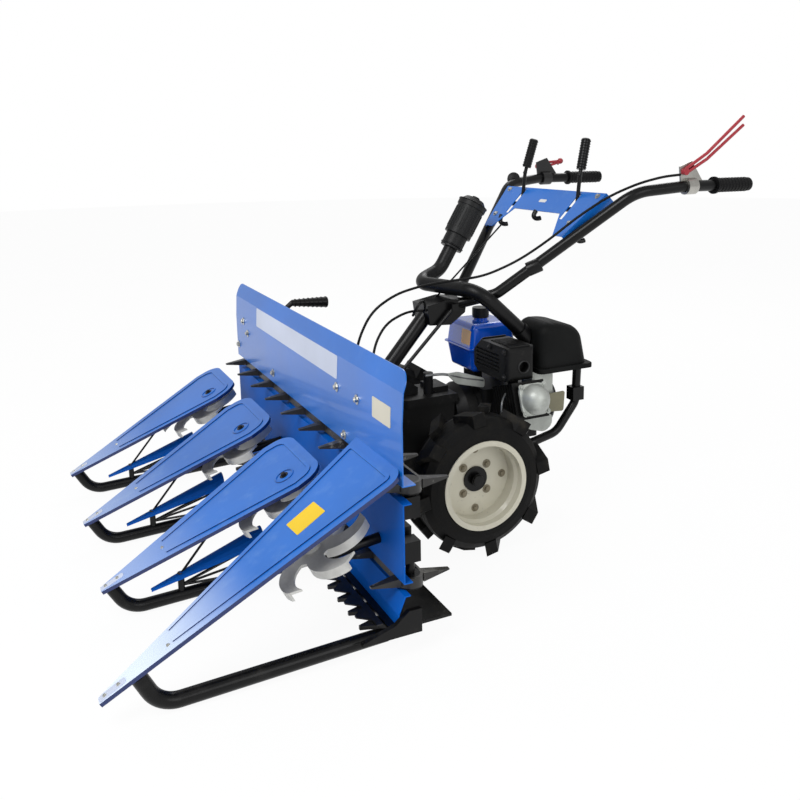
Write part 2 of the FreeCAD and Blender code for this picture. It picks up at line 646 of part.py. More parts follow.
# --------------------------------------------------------------- header boards and belts
def upper_backboard():
    """Folded sheet: hood over the belt, tall face, shallow crease and leaning top flange."""
    body = new_body("upper_backboard")
    face = "board_face"
    section = new_sketch(body, "upper_board_section", "YZ_Plane")
    outline(section, [
        (face, "upper_slot_top"), (face, "board_crease"), (f"{face} + crease_lean", "board_fold"),
        (f"{face} + top_lean", BOARD_TOP), (f"{face} + top_lean + board_sheet", BOARD_TOP),
        (f"{face} + crease_lean + board_sheet", "board_fold"), (f"{face} + board_sheet", "board_crease"),
        (f"{face} + board_sheet", "upper_slot_top + board_sheet"),
        (f"{face} + hood_depth", "upper_slot_top + board_sheet"), (f"{face} + hood_depth", "upper_slot_top"),
    ])
    pad(body, section, f"2 * {BOARD_HALF}", midplane=True)
    corners = new_sketch(body, "upper_board_corners", "XZ_Plane", f"-({face})")
    for sign in (1, -1):
        corner_notch(corners, f"{sign} * {BOARD_HALF}", BOARD_TOP, f"{sign} * top_corner", "top_corner")
    pocket(body, corners, "80", midplane=True)


def lower_backboard():
    """Channel-shaped sheet between the two belt slots."""
    body = new_body("lower_backboard")
    face = "board_face"
    fold = "pulley_y - post_size / 2"
    section = new_sketch(body, "lower_board_section", "YZ_Plane")
    outline(section, [
        (face, "lower_board_low"), (face, "upper_slot_low"), (fold, "upper_slot_low"),
        (fold, "upper_slot_low - board_sheet"),
        (f"{face} + board_sheet", "upper_slot_low - board_sheet"),
        (f"{face} + board_sheet", "lower_board_low + board_sheet"),
        (fold, "lower_board_low + board_sheet"), (fold, "lower_board_low"),
    ])
    pad(body, section, f"2 * {BOARD_HALF}", midplane=True)


def bottom_strip():
    """Folded strip under the lower belt, its foot standing forward on the deck."""
    body = new_body("bottom_strip")
    back = "board_face + 6"
    fold = "pulley_y - post_size / 2"
    section = new_sketch(body, "bottom_strip_section", "YZ_Plane")
    outline(section, [
        (fold, "strip_top"), (back, "strip_top"), (f"{back} - strip_toe", "strip_low"),
        (f"{back} - strip_toe", "guard_low + guard_thick + deck_thick"),
        (f"{back} - strip_toe + board_sheet", "guard_low + guard_thick + deck_thick"),
        (f"{back} - strip_toe + board_sheet", "strip_low - 1"),
        (f"{back} + board_sheet", "strip_top - board_sheet"), (fold, "strip_top - board_sheet"),
    ])
    pad(body, section, f"2 * {GUARD_HALF}", midplane=True)


def lug_belt(label, middle):
    """Flat belt round two pulleys with tapered lugs on both runs."""
    body = new_body(label, "0", "0", f"{middle} - belt_width / 2")
    loop = new_sketch(body, label + "_loop", "XY_Plane")
    stadium(loop, PULLEY_X, "pulley_y", "belt_outer")
    stadium(loop, PULLEY_X, "pulley_y", "belt_outer - belt_thick")
    pad(body, loop, "belt_width")
    first = f"(-({BELT_LUGS} - 1) / 2 * belt_lug_pitch)"
    for name, sign, backwards in (("front", -1, False), ("rear", 1, True)):
        root = f"pulley_y + {sign} * (belt_outer - 1)"
        lug = new_sketch(body, f"{label}_{name}_lug", "XZ_Plane", f"-({root})")
        inset = "2"
        outline(lug, [
            (f"{first} - belt_lug_base / 2", inset), (f"{first} + belt_lug_base / 2", inset),
            (f"{first} + belt_lug_base / 2", f"belt_width - {inset}"),
            (f"{first} - belt_lug_base / 2", f"belt_width - {inset}"),
        ])
        tooth = pad(body, lug, "belt_lug_reach + 1", backwards=backwards, taper="-belt_lug_taper")
        row_of(body, [tooth], "X_Axis", f"({BELT_LUGS} - 1) * belt_lug_pitch", BELT_LUGS)


def belt_pulleys():
    """A pulley for each belt end, on a short shaft held in a bearing behind the lower board."""
    ends = []
    for side, hand in ((1, "left"), (-1, "right")):
        x = f"{side} * {PULLEY_X}"
        for level in ("upper", "lower"):
            name = f"{hand}_{level}"
            base = f"{level}_belt_z - belt_width / 2"
            if level == "upper":
                foot = "upper_slot_low - board_sheet - bearing_high"
                low, high = foot, f"{base} + belt_width"
            else:
                foot = "lower_board_low + bearing_lift"
                low, high = base, f"{foot} + bearing_high"
            ends.append(fuse(name + "_end", [
                rod(name + "_shaft", "z", x, "pulley_y", low, "pulley_shaft", f"{high} - ({low})"),
                block(name + "_bearing", f"{x} - bearing_half", f"{x} + bearing_half", "board_face + board_sheet",
                      "pulley_y + bearing_half", foot, f"{foot} + bearing_high"),
                rod(name + "_pulley", "z", x, "pulley_y", base, "belt_outer - belt_thick", "belt_width"),
                rod(name + "_flange", "z", x, "pulley_y", f"{base} - 3", "belt_outer - 1", "3"),
            ]))
    keep(gather("pulley_pair", ends), "belt_pulleys")


def header_frame():
    """Bottom plate, square uprights inside the belts and the cross beam behind the boards."""
    floor = "guard_low + guard_thick + deck_thick"
    parts = [
        block("deck", f"-{GUARD_HALF}", GUARD_HALF, "deck_front", "deck_back", "guard_low + guard_thick", floor),
        block("beam", f"-{PULLEY_X} + belt_outer", f"{PULLEY_X} - belt_outer", "board_face + board_sheet",
              "pulley_y + post_size / 2", "beam_low", "beam_high"),
    ]
    for index, place in enumerate(("-0.75", "-0.25", "0.25", "0.75")):
        x = f"{place} * {PULLEY_X}"
        parts.append(block(f"upright_{index}", f"{x} - post_size / 2", f"{x} + post_size / 2",
                           "pulley_y - post_size / 2", "pulley_y + post_size / 2", floor, "upper_slot_top"))
    frame = fuse("header_weldment", parts)
    keep(frame, "header_frame")


def cutter_guards():
    """Row of pointed guard fingers on their bar."""
    body = new_body("cutter_guards", "0", "0", "guard_low")
    bar = new_sketch(body, "guard_bar", "XY_Plane")
    reach = GUARD_HALF
    outline(bar, [
        (f"-{reach}", "guard_root"), (reach, "guard_root"),
        (reach, "guard_root + 40"), (f"-{reach}", "guard_root + 40"),
    ])
    pad(body, bar, "guard_thick")
    first = f"(-({TEETH} - 1) / 2 * tooth_pitch)"
    finger = new_sketch(body, "guard_finger", "XY_Plane")
    outline(finger, [
        (f"{first} - finger_half", "guard_root + 1"), (f"{first} - 3", "guard_tip"),
        (f"{first} + 3", "guard_tip"), (f"{first} + finger_half", "guard_root + 1"),
    ])
    tooth = pad(body, finger, "guard_thick")
    row_of(body, [tooth], "X_Axis", f"({TEETH} - 1) * tooth_pitch", TEETH)


def knife():
    """Knife back with its triangular sections, sliding between guards and deck."""
    body = new_body("knife", "0", "0", "guard_low + guard_thick + knife_gap")
    reach = f"({GUARD_HALF} - knife_stroke - 8)"
    back = new_sketch(body, "knife_back", "XY_Plane")
    outline(back, [
        (f"-{reach}", "deck_front - 18"), (reach, "deck_front - 18"),
        (reach, "deck_front - 3"), (f"-{reach}", "deck_front - 3"),
    ])
    pad(body, back, "knife_thick")
    first = f"(-({TEETH} - 1) / 2 * tooth_pitch + tooth_pitch / 2)"
    section = new_sketch(body, "knife_section", "XY_Plane")
    outline(section, [
        (f"{first} - 30", "deck_front - 17"), (f"{first} - 4", "guard_tip + 4"), (f"{first} + 4", "guard_tip + 4"),
        (f"{first} + 30", "deck_front - 17"),
    ])
    tooth = pad(body, section, "knife_thick")
    row_of(body, [tooth], "X_Axis", f"({TEETH} - 2) * tooth_pitch", f"{TEETH} - 1")


def end_shoes():
    """Wedge-shaped shoe at each end of the cutter bar."""
    shoes = []
    body = new_body("end_shoes")
    for side, hand in ((1, "left"), (-1, "right")):
        profile = new_sketch(body, f"{hand}_shoe", "YZ_Plane", f"{side} * ({BOARD_HALF} - shoe_thick / 2)")
        outline(profile, [
            ("shoe_front", "guard_low"), ("shoe_front", "guard_low + 6"), ("guard_root", "guard_low + 28"),
            ("shoe_back - 30", "shoe_high"), ("shoe_back", "shoe_high"), ("shoe_back", "guard_low"),
        ])
        shoes.append(pad(body, profile, "shoe_thick", midplane=True))
        body.Tip = shoes[-1]
    doc.recompute()


# --------------------------------------------------------------- dividers
def divider_cover(index, label):
    """Pressed cover: folded edges, rounded rear corners and a raised bead."""
    long_one = index == 3
    nose_y = "-front_reach" if long_one else "cover_tip"
    nose_z = "long_tip_z" if long_one else "cover_tip_z"
    slope = "long_slope" if long_one else "cover_slope"
    body = new_body(label, divider_x(index), nose_y, nose_z, slope)
    if long_one:
        length = "(front_reach + board_face) / cos(long_slope)"
        corners = [
            ("-nose_half", "0"), ("nose_half", "0"), ("long_outer", f"{length} - 40"), ("long_outer", length),
            ("long_inner", length),
        ]
        left = [cover_side("-nose_half", "long_inner", length), ("long_inner", length)]
        right = [cover_side("nose_half", "long_outer", f"({length} - 40)"), ("long_outer", f"{length} - 40"),
                 ("long_outer", length)]
        corner = "long_corner"
    else:
        length = "cover_length"
        corners = [
            ("-nose_half", "0"), ("nose_half", "0"), ("cover_half", SHOULDER), ("cover_half * 0.94", length),
            ("-cover_half * 0.94", length), ("-cover_half", SHOULDER),
        ]
        right = [cover_side("nose_half", "cover_half", SHOULDER), ("cover_half", SHOULDER),
                 ("cover_half * 0.94", length)]
        left = [(f"-({x})", y) for x, y in right]
        corner = "cover_corner"
    edge = new_sketch(body, label + "_edge", "XY_Plane")
    outline(edge, corners)
    blank = pad(body, edge, "cover_depth", backwards=True)
    rear = size(length)

    def rear_corner(candidate):
        return is_upright(candidate) and candidate.Vertexes[0].Y > rear - 1

    def rear_edge(candidate):
        near_outer = candidate.Vertexes[0].X > 0 if long_one else True
        return rear_corner(candidate) and near_outer

    rounded = fillet(body, blank, rear_edge, corner)
    shell = body.newObject("PartDesign::Thickness", label + "_folded")
    under = min(range(len(rounded.Shape.Faces)), key=lambda i: rounded.Shape.Faces[i].CenterOfMass.z)
    shell.Base = (rounded, [f"Face{under + 1}"])
    shell.setExpression("Value", bound("cover_sheet"))
    shell.Reversed = True
    shell.Mode = 0
    shell.Join = 0
    doc.recompute()
    if long_one:
        # the rear edge stands upright against the board's face
        trim = new_sketch(body, label + "_trim", "YZ_Plane")
        lean = "cover_depth * tan(long_slope)"
        outline(trim, [(length, "0"), (length, "-2 * cover_depth"), (f"{length} - 2 * {lean}", "-2 * cover_depth")])
        pocket(body, trim, "4 * cover_half", midplane=True)
    bead = new_sketch(body, label + "_bead", "XY_Plane")
    lanes = []
    for inset in ("bead_inset", "bead_inset + bead_width"):
        rows = [(f"({x}) + {inset}", y) for x, y in left] + [(f"({x}) - ({inset})", y) for x, y in reversed(right)]
        lanes.append([(x, f"{length} - ({inset})") if y == length else (x, y) for x, y in rows])
    outer, inner = lanes
    outline(bead, outer + inner[::-1])
    raised = pad(body, bead, "bead_high")
    for inset in ("bead_inset", "bead_inset + bead_width"):
        line = size(f"{length} - ({inset})")

        def bead_corner(candidate):
            return is_upright(candidate) and candidate.CenterOfMass.z > 0 and abs(candidate.CenterOfMass.y - line) < 1

        raised = fillet(body, raised, bead_corner, f"{corner} - ({inset})")
    return body


def cover_side(nose, rear, length):
    """Where a cover's side edge passes the bead's front end."""
    return f"{nose} + (({rear}) - ({nose})) * bead_start / {length}", "bead_start"


def under_cover(index, y, depth):
    """Height of a cover's slanted plane above y, less a depth square to the plane."""
    rise = f"(({y}) - ({nose_y(index)})) * tan({slope_of(index)})"
    return f"({nose_height(index)} + {rise} - ({depth}) / cos({slope_of(index)}))"


def skid(index):
    """Bent tube from under the cutter bar along the floor and up to a cover's nose."""
    tube = "long_skid_tube" if index == 3 else "skid_tube"
    x = divider_x(index)
    places = [
        point(x, "skid_heel", f"guard_low - {tube}"),
        point(x, "skid_toe", tube),
        point(x, "skid_head", under_cover(index, "skid_head", f"cover_sheet + {tube} * 0.5")),
    ]
    tube_shape = tube_along(places, [size("skid_bend")], size(tube))
    return tube_shape.cut(above_cover(index, "cover_depth"))


def nose_y(index):
    return "-front_reach" if index == 3 else "cover_tip"


def nose_height(index):
    return "long_tip_z" if index == 3 else "cover_tip_z"


def slope_of(index):
    return "long_slope" if index == 3 else "cover_slope"


def star_x(index):
    return f"({divider_x(index)} - long_star_shift)" if index == 3 else f"({divider_x(index)})"


def star_centre(index):
    """Middle of a star's plate, square under the short covers' plane."""
    return point(star_x(index), "star_y", under_cover(0, "star_y", "star_drop"))


def tilted(shape, centre):
    """Turn a shape made upright at the origin onto the star plane."""
    move = Placement(centre, Rotation(V(1, 0, 0), size("cover_slope")))
    return shape.transformed(move.Matrix, True)


def star_arm(reach, root, depth, rib):
    """Sickle-shaped arm between two arcs, with a rib turned down along its outer edge."""
    def at(radius, degrees):
        turn = math.radians(degrees)
        return V(radius * math.cos(turn), radius * math.sin(turn), 0)

    middle = (root + reach) / 2
    foot = root * 0.8
    lead = Part.Arc(at(foot, -38), at(middle, -14), at(reach, 15)).toShape()
    tip = Part.LineSegment(at(reach, 15), at(reach - 4, 29)).toShape()
    trail = Part.Arc(at(reach - 4, 29), at(middle, 13), at(foot, 20)).toShape()
    close = Part.LineSegment(at(foot, 20), at(foot, -38)).toShape()
    arm = Part.Face(Part.Wire([lead, tip, trail, close])).extrude(V(0, 0, depth))
    inner = Part.Arc(at(reach - 1, 17.5), at(middle, -11), at(foot, -33)).toShape()
    end = Part.LineSegment(at(reach, 15), at(reach - 1, 17.5)).toShape()
    start = Part.LineSegment(at(foot, -33), at(foot, -38)).toShape()
    edge = Part.Face(Part.Wire([lead, end, inner, start])).extrude(V(0, 0, -rib))
    return arm.fuse(edge)


def star_wheel(index, label):
    """Hub with a round plate and curved arms that rake the stalks along."""
    arms = int(size("star_arms"))
    plate = size("star_plate")
    reach = size("star_radius")
    root = size("star_root")
    length = size("star_hub_length")
    body = Part.makeCylinder(root, plate, V(0, 0, -plate / 2))
    body = body.fuse(Part.makeCylinder(size("star_hub"), length, V(0, 0, -length / 2)))
    for turn in range(arms):
        arm = star_arm(reach, root, plate, size("star_rib"))
        arm.translate(V(0, 0, -plate / 2))
        arm.rotate(V(), V(0, 0, 1), turn * 360 / arms)
        body = body.fuse(arm)
    body = body.cut(Part.makeCylinder(size("star_pin + fit_gap"), 2 * length, V(0, 0, -length)))
    keep_shape(tilted(body.removeSplitter(), star_centre(index)), label)


def star_brackets():
    """For each star a pin square to its cover, on a foot that reaches out from the beam."""
    brackets = []
    for index in range(4):
        centre = star_centre(index)
        pin = size("star_pin")
        square = Rotation(V(1, 0, 0), size("cover_slope")).multVec(V(0, 0, 1))
        low = centre - square * (size("star_hub_length") / 2 + 18)
        post = bar_between(low, centre + square * 140, pin)
        collar = bar_between(low, low + square * 16, pin * 2.2)
        arm = bar_between(low + square * 6, V(low.x, size("board_face"), size("beam_low + 14")), 12)
        board = Part.makeBox(400, 200, 400, V(centre.x - 200, size("board_face"), 0))
        bracket = post.fuse([collar, arm]).cut(board)
        brackets.append(bracket.cut(above_cover(index)))
    keep_shape(Part.Compound(brackets), "star_brackets")


def above_cover(index, depth="cover_sheet"):
    """Everything above a plane under a cover, as a tool to cut posts to length."""
    slab = Part.makeBox(500, 1300, 400, V(-250, -60, -size(depth)))
    nose = point(divider_x(index), nose_y(index), nose_height(index))
    slab.Placement = Placement(nose, Rotation(V(1, 0, 0), size(slope_of(index)))).multiply(slab.Placement)
    return slab


def lower_divider(index):
    """Half-round pointed snout under a cover, hollow below."""
    sections = []
    for inset in (0, size("board_sheet")):
        rings = []
        for y, z, half, rise in (("pod_tip", "pod_tip_z", 7, 6), ("pod_end", "pod_end_z", size("pod_half"), size("pod_rise"))):
            middle = point(divider_x(index), y, z)
            across = half - inset
            high = rise - inset
            turns = [math.radians(180 * step / 8) for step in range(9)]
            arch = [middle + V(across * math.cos(turn), 0, high * math.sin(turn)) for turn in turns]
            if inset:
                drop = V(0, 0, -size("board_sheet"))
                arch = [arch[0] + drop] + arch + [arch[-1] + drop]
            rings.append(Part.makePolygon(arch + arch[:1]))
        sections.append(Part.makeLoft(rings, True, True))
    outer, hollow = sections
    return outer.cut(hollow).cut(lifter(index))


def lifter(index):
    """Post on the skid with splayed rods and the stay up to the cover, welded together."""
    x = divider_x(index)
    y = "pod_tip + post_setback"
    rise = "(pod_end_z - pod_tip_z) * post_setback / (pod_end - pod_tip)"
    foot = point(x, y, "skid_tube")
    head = point(x, y, f"pod_tip_z + {rise} + 12")
    nose = point(x, y, "pod_tip_z - 2")
    rod_r = size("rod_radius")
    parts = [bar_between(foot, head, size("post_radius"))]
    for spread, height in ((-62, -50), (62, -50), (-34, -28), (34, -28)):
        end = point(f"({x}) + {spread}", "pod_end - 20", f"pod_end_z + {height}")
        parts.append(bar_between(nose, end, rod_r))
    stay_top = "pod_tip + 3 * post_setback"
    parts.append(bar_between(head - V(0, 0, 4), point(x, stay_top, under_cover(index, stay_top, "0")), rod_r))
    return parts[0].fuse(parts[1:]).cut([skid(index), above_cover(index)])


# --------------------------------------------------------------- gearbox and engine
def gearbox():
    """Cast housing with an axle horn and a bearing cap to each side, bored for the axles."""
    body = new_body("gearbox")
    side_view = new_sketch(body, "gearbox_side", "YZ_Plane")
    outline(side_view, [
        ("gearbox_front", "gearbox_low + 60"), ("gearbox_front + 46", "gearbox_low"),
        ("gearbox_back - 30", "gearbox_low"), ("gearbox_back", "gearbox_low + 40"),
        ("gearbox_back", "gearbox_top"), ("gearbox_front", "gearbox_top"),
    ])
    casting = pad(body, side_view, "2 * gearbox_half", midplane=True)
    half = size("gearbox_half")

    def side_edge(edge):
        middle = edge.CenterOfMass
        return edge.Length > 40 and abs(abs(middle.x) - half) < 0.1 and middle.z < size("gearbox_top") - 1

    fillet(body, casting, side_edge, "9")
    horn = new_sketch(body, "axle_horn", "YZ_Plane")
    circle(horn, "0", "wheel_radius", "axle_horn_radius")
    pad(body, horn, "2 * axle_horn", midplane=True)
    cap = new_sketch(body, "bearing_cap", "YZ_Plane")
    circle(cap, "0", "wheel_radius", "axle_horn_radius + 18")
    pad(body, cap, "2 * gearbox_half + 28", midplane=True)
    for sign, hand in ((1, "left"), (-1, "right")):
        mouth = new_sketch(body, f"axle_bore_{hand}", "YZ_Plane", f"{sign} * axle_horn")
        circle(mouth, "0", "wheel_radius", "axle_radius + fit_gap")
        pocket(body, mouth, "axle_seat + 2", backwards=sign < 0)
    return body


def header_coupling():
    """Turned casting that joins the gearbox to the header's cross beam."""
    back_of_beam = "pulley_y + post_size / 2"
    parts = [
        rod("coupling_barrel", "y", "0", back_of_beam, "coupling_z", "coupling_radius - 12",
            f"gearbox_front - ({back_of_beam})"),
        rod("coupling_flange", "y", "0", back_of_beam, "coupling_z", "coupling_radius + 14", "14"),
        rod("coupling_collar", "y", "0", "gearbox_front - 16", "coupling_z", "coupling_radius", "16"),
    ]
    keep(fuse("coupling_casting", parts), "header_coupling")


def gearbox_cover():
    """Cover plate with a raised pad and a slanted lug, and the short shift peg."""
    top = "gearbox_top + cover_plate"
    body = new_body("gearbox_cover", "0", "0", "gearbox_top")
    plate = new_sketch(body, "cover_outline", "XY_Plane")
    across = "gearbox_half + 8"
    outline(plate, [
        (f"-({across})", "gearbox_front + 22"), ("0 - gearbox_half + 12", "gearbox_front"),
        ("gearbox_half - 12", "gearbox_front"), (across, "gearbox_front + 22"), (across, "gearbox_back"),
        (f"-({across})", "gearbox_back"),
    ])
    pad(body, plate, "cover_plate")
    lug = new_sketch(body, "cover_lug", "YZ_Plane")
    outline(lug, [
        ("gearbox_front + 4", "cover_plate"), ("gearbox_front + 4", "cover_plate + 48"),
        ("gearbox_front + 20", "cover_plate + 62"), ("gearbox_front + 80", "cover_plate + 18"),
        ("gearbox_front + 80", "cover_plate"),
    ])
    pad(body, lug, "34", midplane=True)
    step = new_sketch(body, "cover_step", "XY_Plane", "cover_plate")
    outline(step, [
        ("0 - gearbox_half + 8", "gearbox_back - 58"), ("gearbox_half - 34", "gearbox_back - 58"),
        ("gearbox_half - 34", "gearbox_back - 8"), ("0 - gearbox_half + 8", "gearbox_back - 8"),
    ])
    pad(body, step, "14")
    keep(rod("peg_rod", "z", "0", "0", top, "peg_radius", "peg_length"), "shift_peg", "gearbox_half / 2", "0 - 8")


def clutch_housing():
    """Round housing between gearbox and engine, wider towards the engine."""
    body = new_body("clutch_housing", "0", "0", "crank_z")
    section = new_sketch(body, "clutch_section", "YZ_Plane")
    outline(section, [
        ("gearbox_back", "0"), ("gearbox_back", "clutch_radius - 22"), ("gearbox_back + 30", "clutch_radius - 6"),
        ("engine_front - 12", "clutch_radius - 6"), ("engine_front - 12", "clutch_radius"),
        ("engine_front", "clutch_radius"), ("engine_front", "0"),
    ])
    revolve(body, section, "Y_Axis")
    return body


def on_cylinder(shape):
    """Move a shape made along +X from the crankshaft onto the tilted cylinder axis."""
    move = Placement(point("0", "cylinder_y", "crank_z"), Rotation(V(0, 1, 0), -size("cylinder_tilt")))
    return shape.transformed(move.Matrix, True)


def cylinder_plate(start, thick, half):
    """Square plate across the cylinder axis."""
    return Part.makeBox(thick, 2 * half, 2 * half, V(start, -half, -half))


def engine_casting():
    """Crankcase with the tilted, finned cylinder and two feet for the tank."""
    low = point("0 - engine_half", "engine_front", "engine_low")
    high = point("engine_half", "engine_back", "engine_high")
    case = Part.makeBox(high.x - low.x, high.y - low.y, high.z - low.z, low)
    upright = [edge for edge in case.Edges if edge.Length < 1.01 * (high.z - low.z) and is_upright(edge)]
    case = case.makeFillet(size("engine_half") / 6, upright)
    reach = size("cylinder_reach")
    bore = cylinder_plate(0, reach, size("cylinder_half"))
    parts = [on_cylinder(bore)]
    last = reach - size("fin_thick + fin_back")
    for index in range(int(size("fins"))):
        start = last - index * size("fin_pitch")
        parts.append(on_cylinder(cylinder_plate(start, size("fin_thick"), size("fin_half"))))
    for place in ("engine_front + 34", "engine_back - 62"):
        corner = point("0 - engine_half", place, "engine_high")
        parts.append(Part.makeBox(70, 24, size("tank_seam - tank_below - engine_high"), corner))
    return case.fuse(parts).removeSplitter()


def rocker_cover():
    """Flange and tapered dome on the end of the cylinder."""
    half = size("rocker_half")
    joint = size("cylinder_reach")
    flange = cylinder_plate(joint, size("rocker_flange"), half)
    start = size("cylinder_reach + rocker_flange")
    foot = Part.makePolygon([V(start, y, z) for y, z in square_ring(half * 0.84)])
    crown = Part.makePolygon([V(start + size("rocker_dome"), y, z) for y, z in square_ring(half * 0.66)])
    dome = Part.makeLoft([foot, crown], True, True)
    dome = dome.makeFillet(half * 0.26, [e for e in dome.Edges if max(v.X for v in e.Vertexes) > start + 1])
    return on_cylinder(flange.fuse(dome))


def square_ring(half):
    return [(-half, -half), (half, -half), (half, half), (-half, half), (-half, -half)]


def muffler():
    """Louvred guard box with its outlet and the short pipe from the cylinder."""
    body = new_body("muffler_guard_box", "0", "cylinder_y - 70")
    front = new_sketch(body, "muffler_front", "XZ_Plane")
    outline(front, [
        ("muffler_right", "muffler_low + 14"), ("muffler_right", "muffler_high - 34"),
        ("muffler_right + 40", "muffler_high"), ("muffler_left", "muffler_high"), ("muffler_left", "muffler_low"),
        ("muffler_right + 24", "muffler_low"),
    ])
    shell = pad(body, front, "muffler_depth", backwards=True)
    left = size("muffler_left")
    rounded = fillet(body, shell, lambda edge: edge.CenterOfMass.x > left - 1, "16")
    slit = new_sketch(body, "muffler_louvre", "XZ_Plane")
    outline(slit, [
        ("muffler_right + 14", "muffler_low + 22"), ("muffler_left - 44", "muffler_low + 22"),
        ("muffler_left - 44", "muffler_low + 27"), ("muffler_right + 14", "muffler_low + 27"),
    ])
    cut_slit = pocket(body, slit, "5")
    row_of(body, [cut_slit], "Z_Axis", "(louvres - 1) * louvre_pitch", "louvres")
    outlet = new_sketch(body, "muffler_outlet", "YZ_Plane", "muffler_left")
    circle(outlet, "muffler_depth / 2 + 8", "(muffler_low + muffler_high) / 2 - 8", "outlet_radius")
    pocket(body, outlet, "24")
    subparts.remove(body)
    body.setExpression("Placement.Base.x", "0")
    body.setExpression("Placement.Base.y", bound("cylinder_y - 70"))
    pipe = rod("exhaust_pipe", "z", "muffler_left - 60", "cylinder_y - 14", "muffler_low - 90", "15", "92")
    whole = fuse("muffler_whole", [body, pipe])
    keep_shape(whole.Shape.cut(engine_casting()), "muffler")


def fuel_tank():
    """Two tapered halves that meet at a seam lip, a filler neck, and the cap on it."""
    body = new_body("fuel_tank", "(tank_left + tank_right) / 2", "engine_front + tank_length / 2", "tank_seam")
    half = "(tank_left - tank_right) / 2"
    depth = "tank_length / 2"
    corners = [(f"-{half}", f"-{depth}"), (half, f"-{depth}"), (half, depth), (f"-{half}", depth)]
    lower = new_sketch(body, "tank_lower", "XY_Plane")
    outline(lower, corners)
    pad(body, lower, "tank_below", backwards=True, taper="-8")
    upper = new_sketch(body, "tank_upper", "XY_Plane")
    outline(upper, corners)
    shell = pad(body, upper, "tank_above", taper="-6")
    fillet(body, shell, lambda edge: abs(edge.CenterOfMass.z) > 1, "16")
    lip = new_sketch(body, "tank_lip", "XY_Plane", "-2")
    wide = [(f"-{half} - seam_lip + 8", f"-{depth} - seam_lip"), (f"{half} + seam_lip - 8", f"-{depth} - seam_lip"),
            (f"{half} + seam_lip", f"-{depth} - seam_lip + 8"), (f"{half} + seam_lip", f"{depth} + seam_lip - 8"),
            (f"{half} + seam_lip - 8", f"{depth} + seam_lip"), (f"-{half} - seam_lip + 8", f"{depth} + seam_lip"),
            (f"-{half} - seam_lip", f"{depth} + seam_lip - 8"), (f"-{half} - seam_lip", f"-{depth} - seam_lip + 8")]
    outline(lip, wide)
    pad(body, lip, "4")
    neck = new_sketch(body, "tank_neck", "XY_Plane", "tank_above")
    circle(neck, "0", "0", "neck_radius")
    pad(body, neck, "6")
    cap_base = "tank_seam + tank_above + 6"
    keep(rod("cap_disc", "z", "0", "0", cap_base, "cap_radius", "cap_height"), "fuel_cap",
         "(tank_left + tank_right) / 2", "engine_front + tank_length / 2")


def air_cleaner():
    """Moulded housing with a raised ridge over a lipped base."""
    body = new_body("air_cleaner")
    middle = "(cleaner_left + cleaner_right) / 2"
    side_view = new_sketch(body, "cleaner_side", "YZ_Plane", middle)
    outline(side_view, [
        ("cleaner_front", "cleaner_low"), ("cleaner_back", "cleaner_low"), ("cleaner_back - 4", "cleaner_low + 22"),
        ("cleaner_back - 28", "cleaner_high - 28"), ("cleaner_front + 66", "cleaner_high"),
        ("cleaner_front + 4", "cleaner_high - 6"),
    ])
    moulding = pad(body, side_view, "cleaner_left - cleaner_right", midplane=True)
    fillet(body, moulding, lambda edge: edge.CenterOfMass.z > size("cleaner_low") + 1, "12")
    lip = new_sketch(body, "cleaner_lip", "XY_Plane", "cleaner_low")
    side = "cleaner_lip"
    outline(lip, [
        (f"cleaner_right - {side}", f"cleaner_front - 2"), (f"cleaner_left + {side}", f"cleaner_front - 2"),
        (f"cleaner_left + {side}", f"cleaner_back + {side}"), (f"cleaner_right - {side}", f"cleaner_back + {side}"),
    ])
    pad(body, lip, "14")
    return body


def carburettor():
    """Carburettor between the cylinder's rear side and the air cleaner's base."""
    low = point("cleaner_left - 84", "cylinder_y + cylinder_half", "crank_z + 34")
    high = point("cleaner_left - 30", "cleaner_back - 110", "cleaner_low")
    block_shape = Part.makeBox(high.x - low.x, high.y - low.y, high.z - low.z, low)
    return block_shape.cut(engine_casting())


def recoil_cover():
    """Fan housing with a shallow cone and the starter's cup behind it."""
    body = new_body("recoil_cover", "0", "0", "crank_z")
    section = new_sketch(body, "recoil_section", "YZ_Plane")
    rear = "engine_back + recoil_depth"
    outline(section, [
        ("engine_back", "0"), ("engine_back", "recoil_radius - 10"), ("engine_back + 14", "recoil_radius"),
        (f"{rear} - 14", "recoil_radius"), (rear, "recoil_radius - 12"), (rear, "starter_radius"),
        (f"{rear} + starter_depth", "starter_radius - 8"), (f"{rear} + starter_depth", "0"),
    ])
    revolve(body, section, "Y_Axis")
    return body


def guard_places():
    tube = "guard_tube"
    return [
        point("engine_half - 30", "engine_front + 30", f"engine_low - {tube}"),
        point("cleaner_left - 50", "engine_front + 122", "engine_low + 6"),
        point("cleaner_left - 50", "cleaner_back - 81", "engine_low + 26"),
        point("cleaner_left - 50", "cleaner_back - 14", "crank_z + 24"),
        point("cleaner_left - 50", "cleaner_back - 10", "cleaner_low"),
    ]


def rear_guard():
    """Tube from under the crankcase that turns up behind the engine and carries the air cleaner."""
    places = guard_places()
    tube_shape = tube_along(places, [36, 60, 46], size("guard_tube"))
    lower = places[3] + V(-17, -20, 6)
    clamp = Part.makeBox(34, 38, 40, lower)
    top = point("0", "0", "cleaner_low").z
    above = Part.makeBox(200, 200, 60, V(places[4].x - 100, places[4].y - 100, top))
    case = Part.makeBox(400, 300, 200, point("0 - 300", "engine_front", "engine_low"))
    return tube_shape.fuse(clamp).cut([above, case])


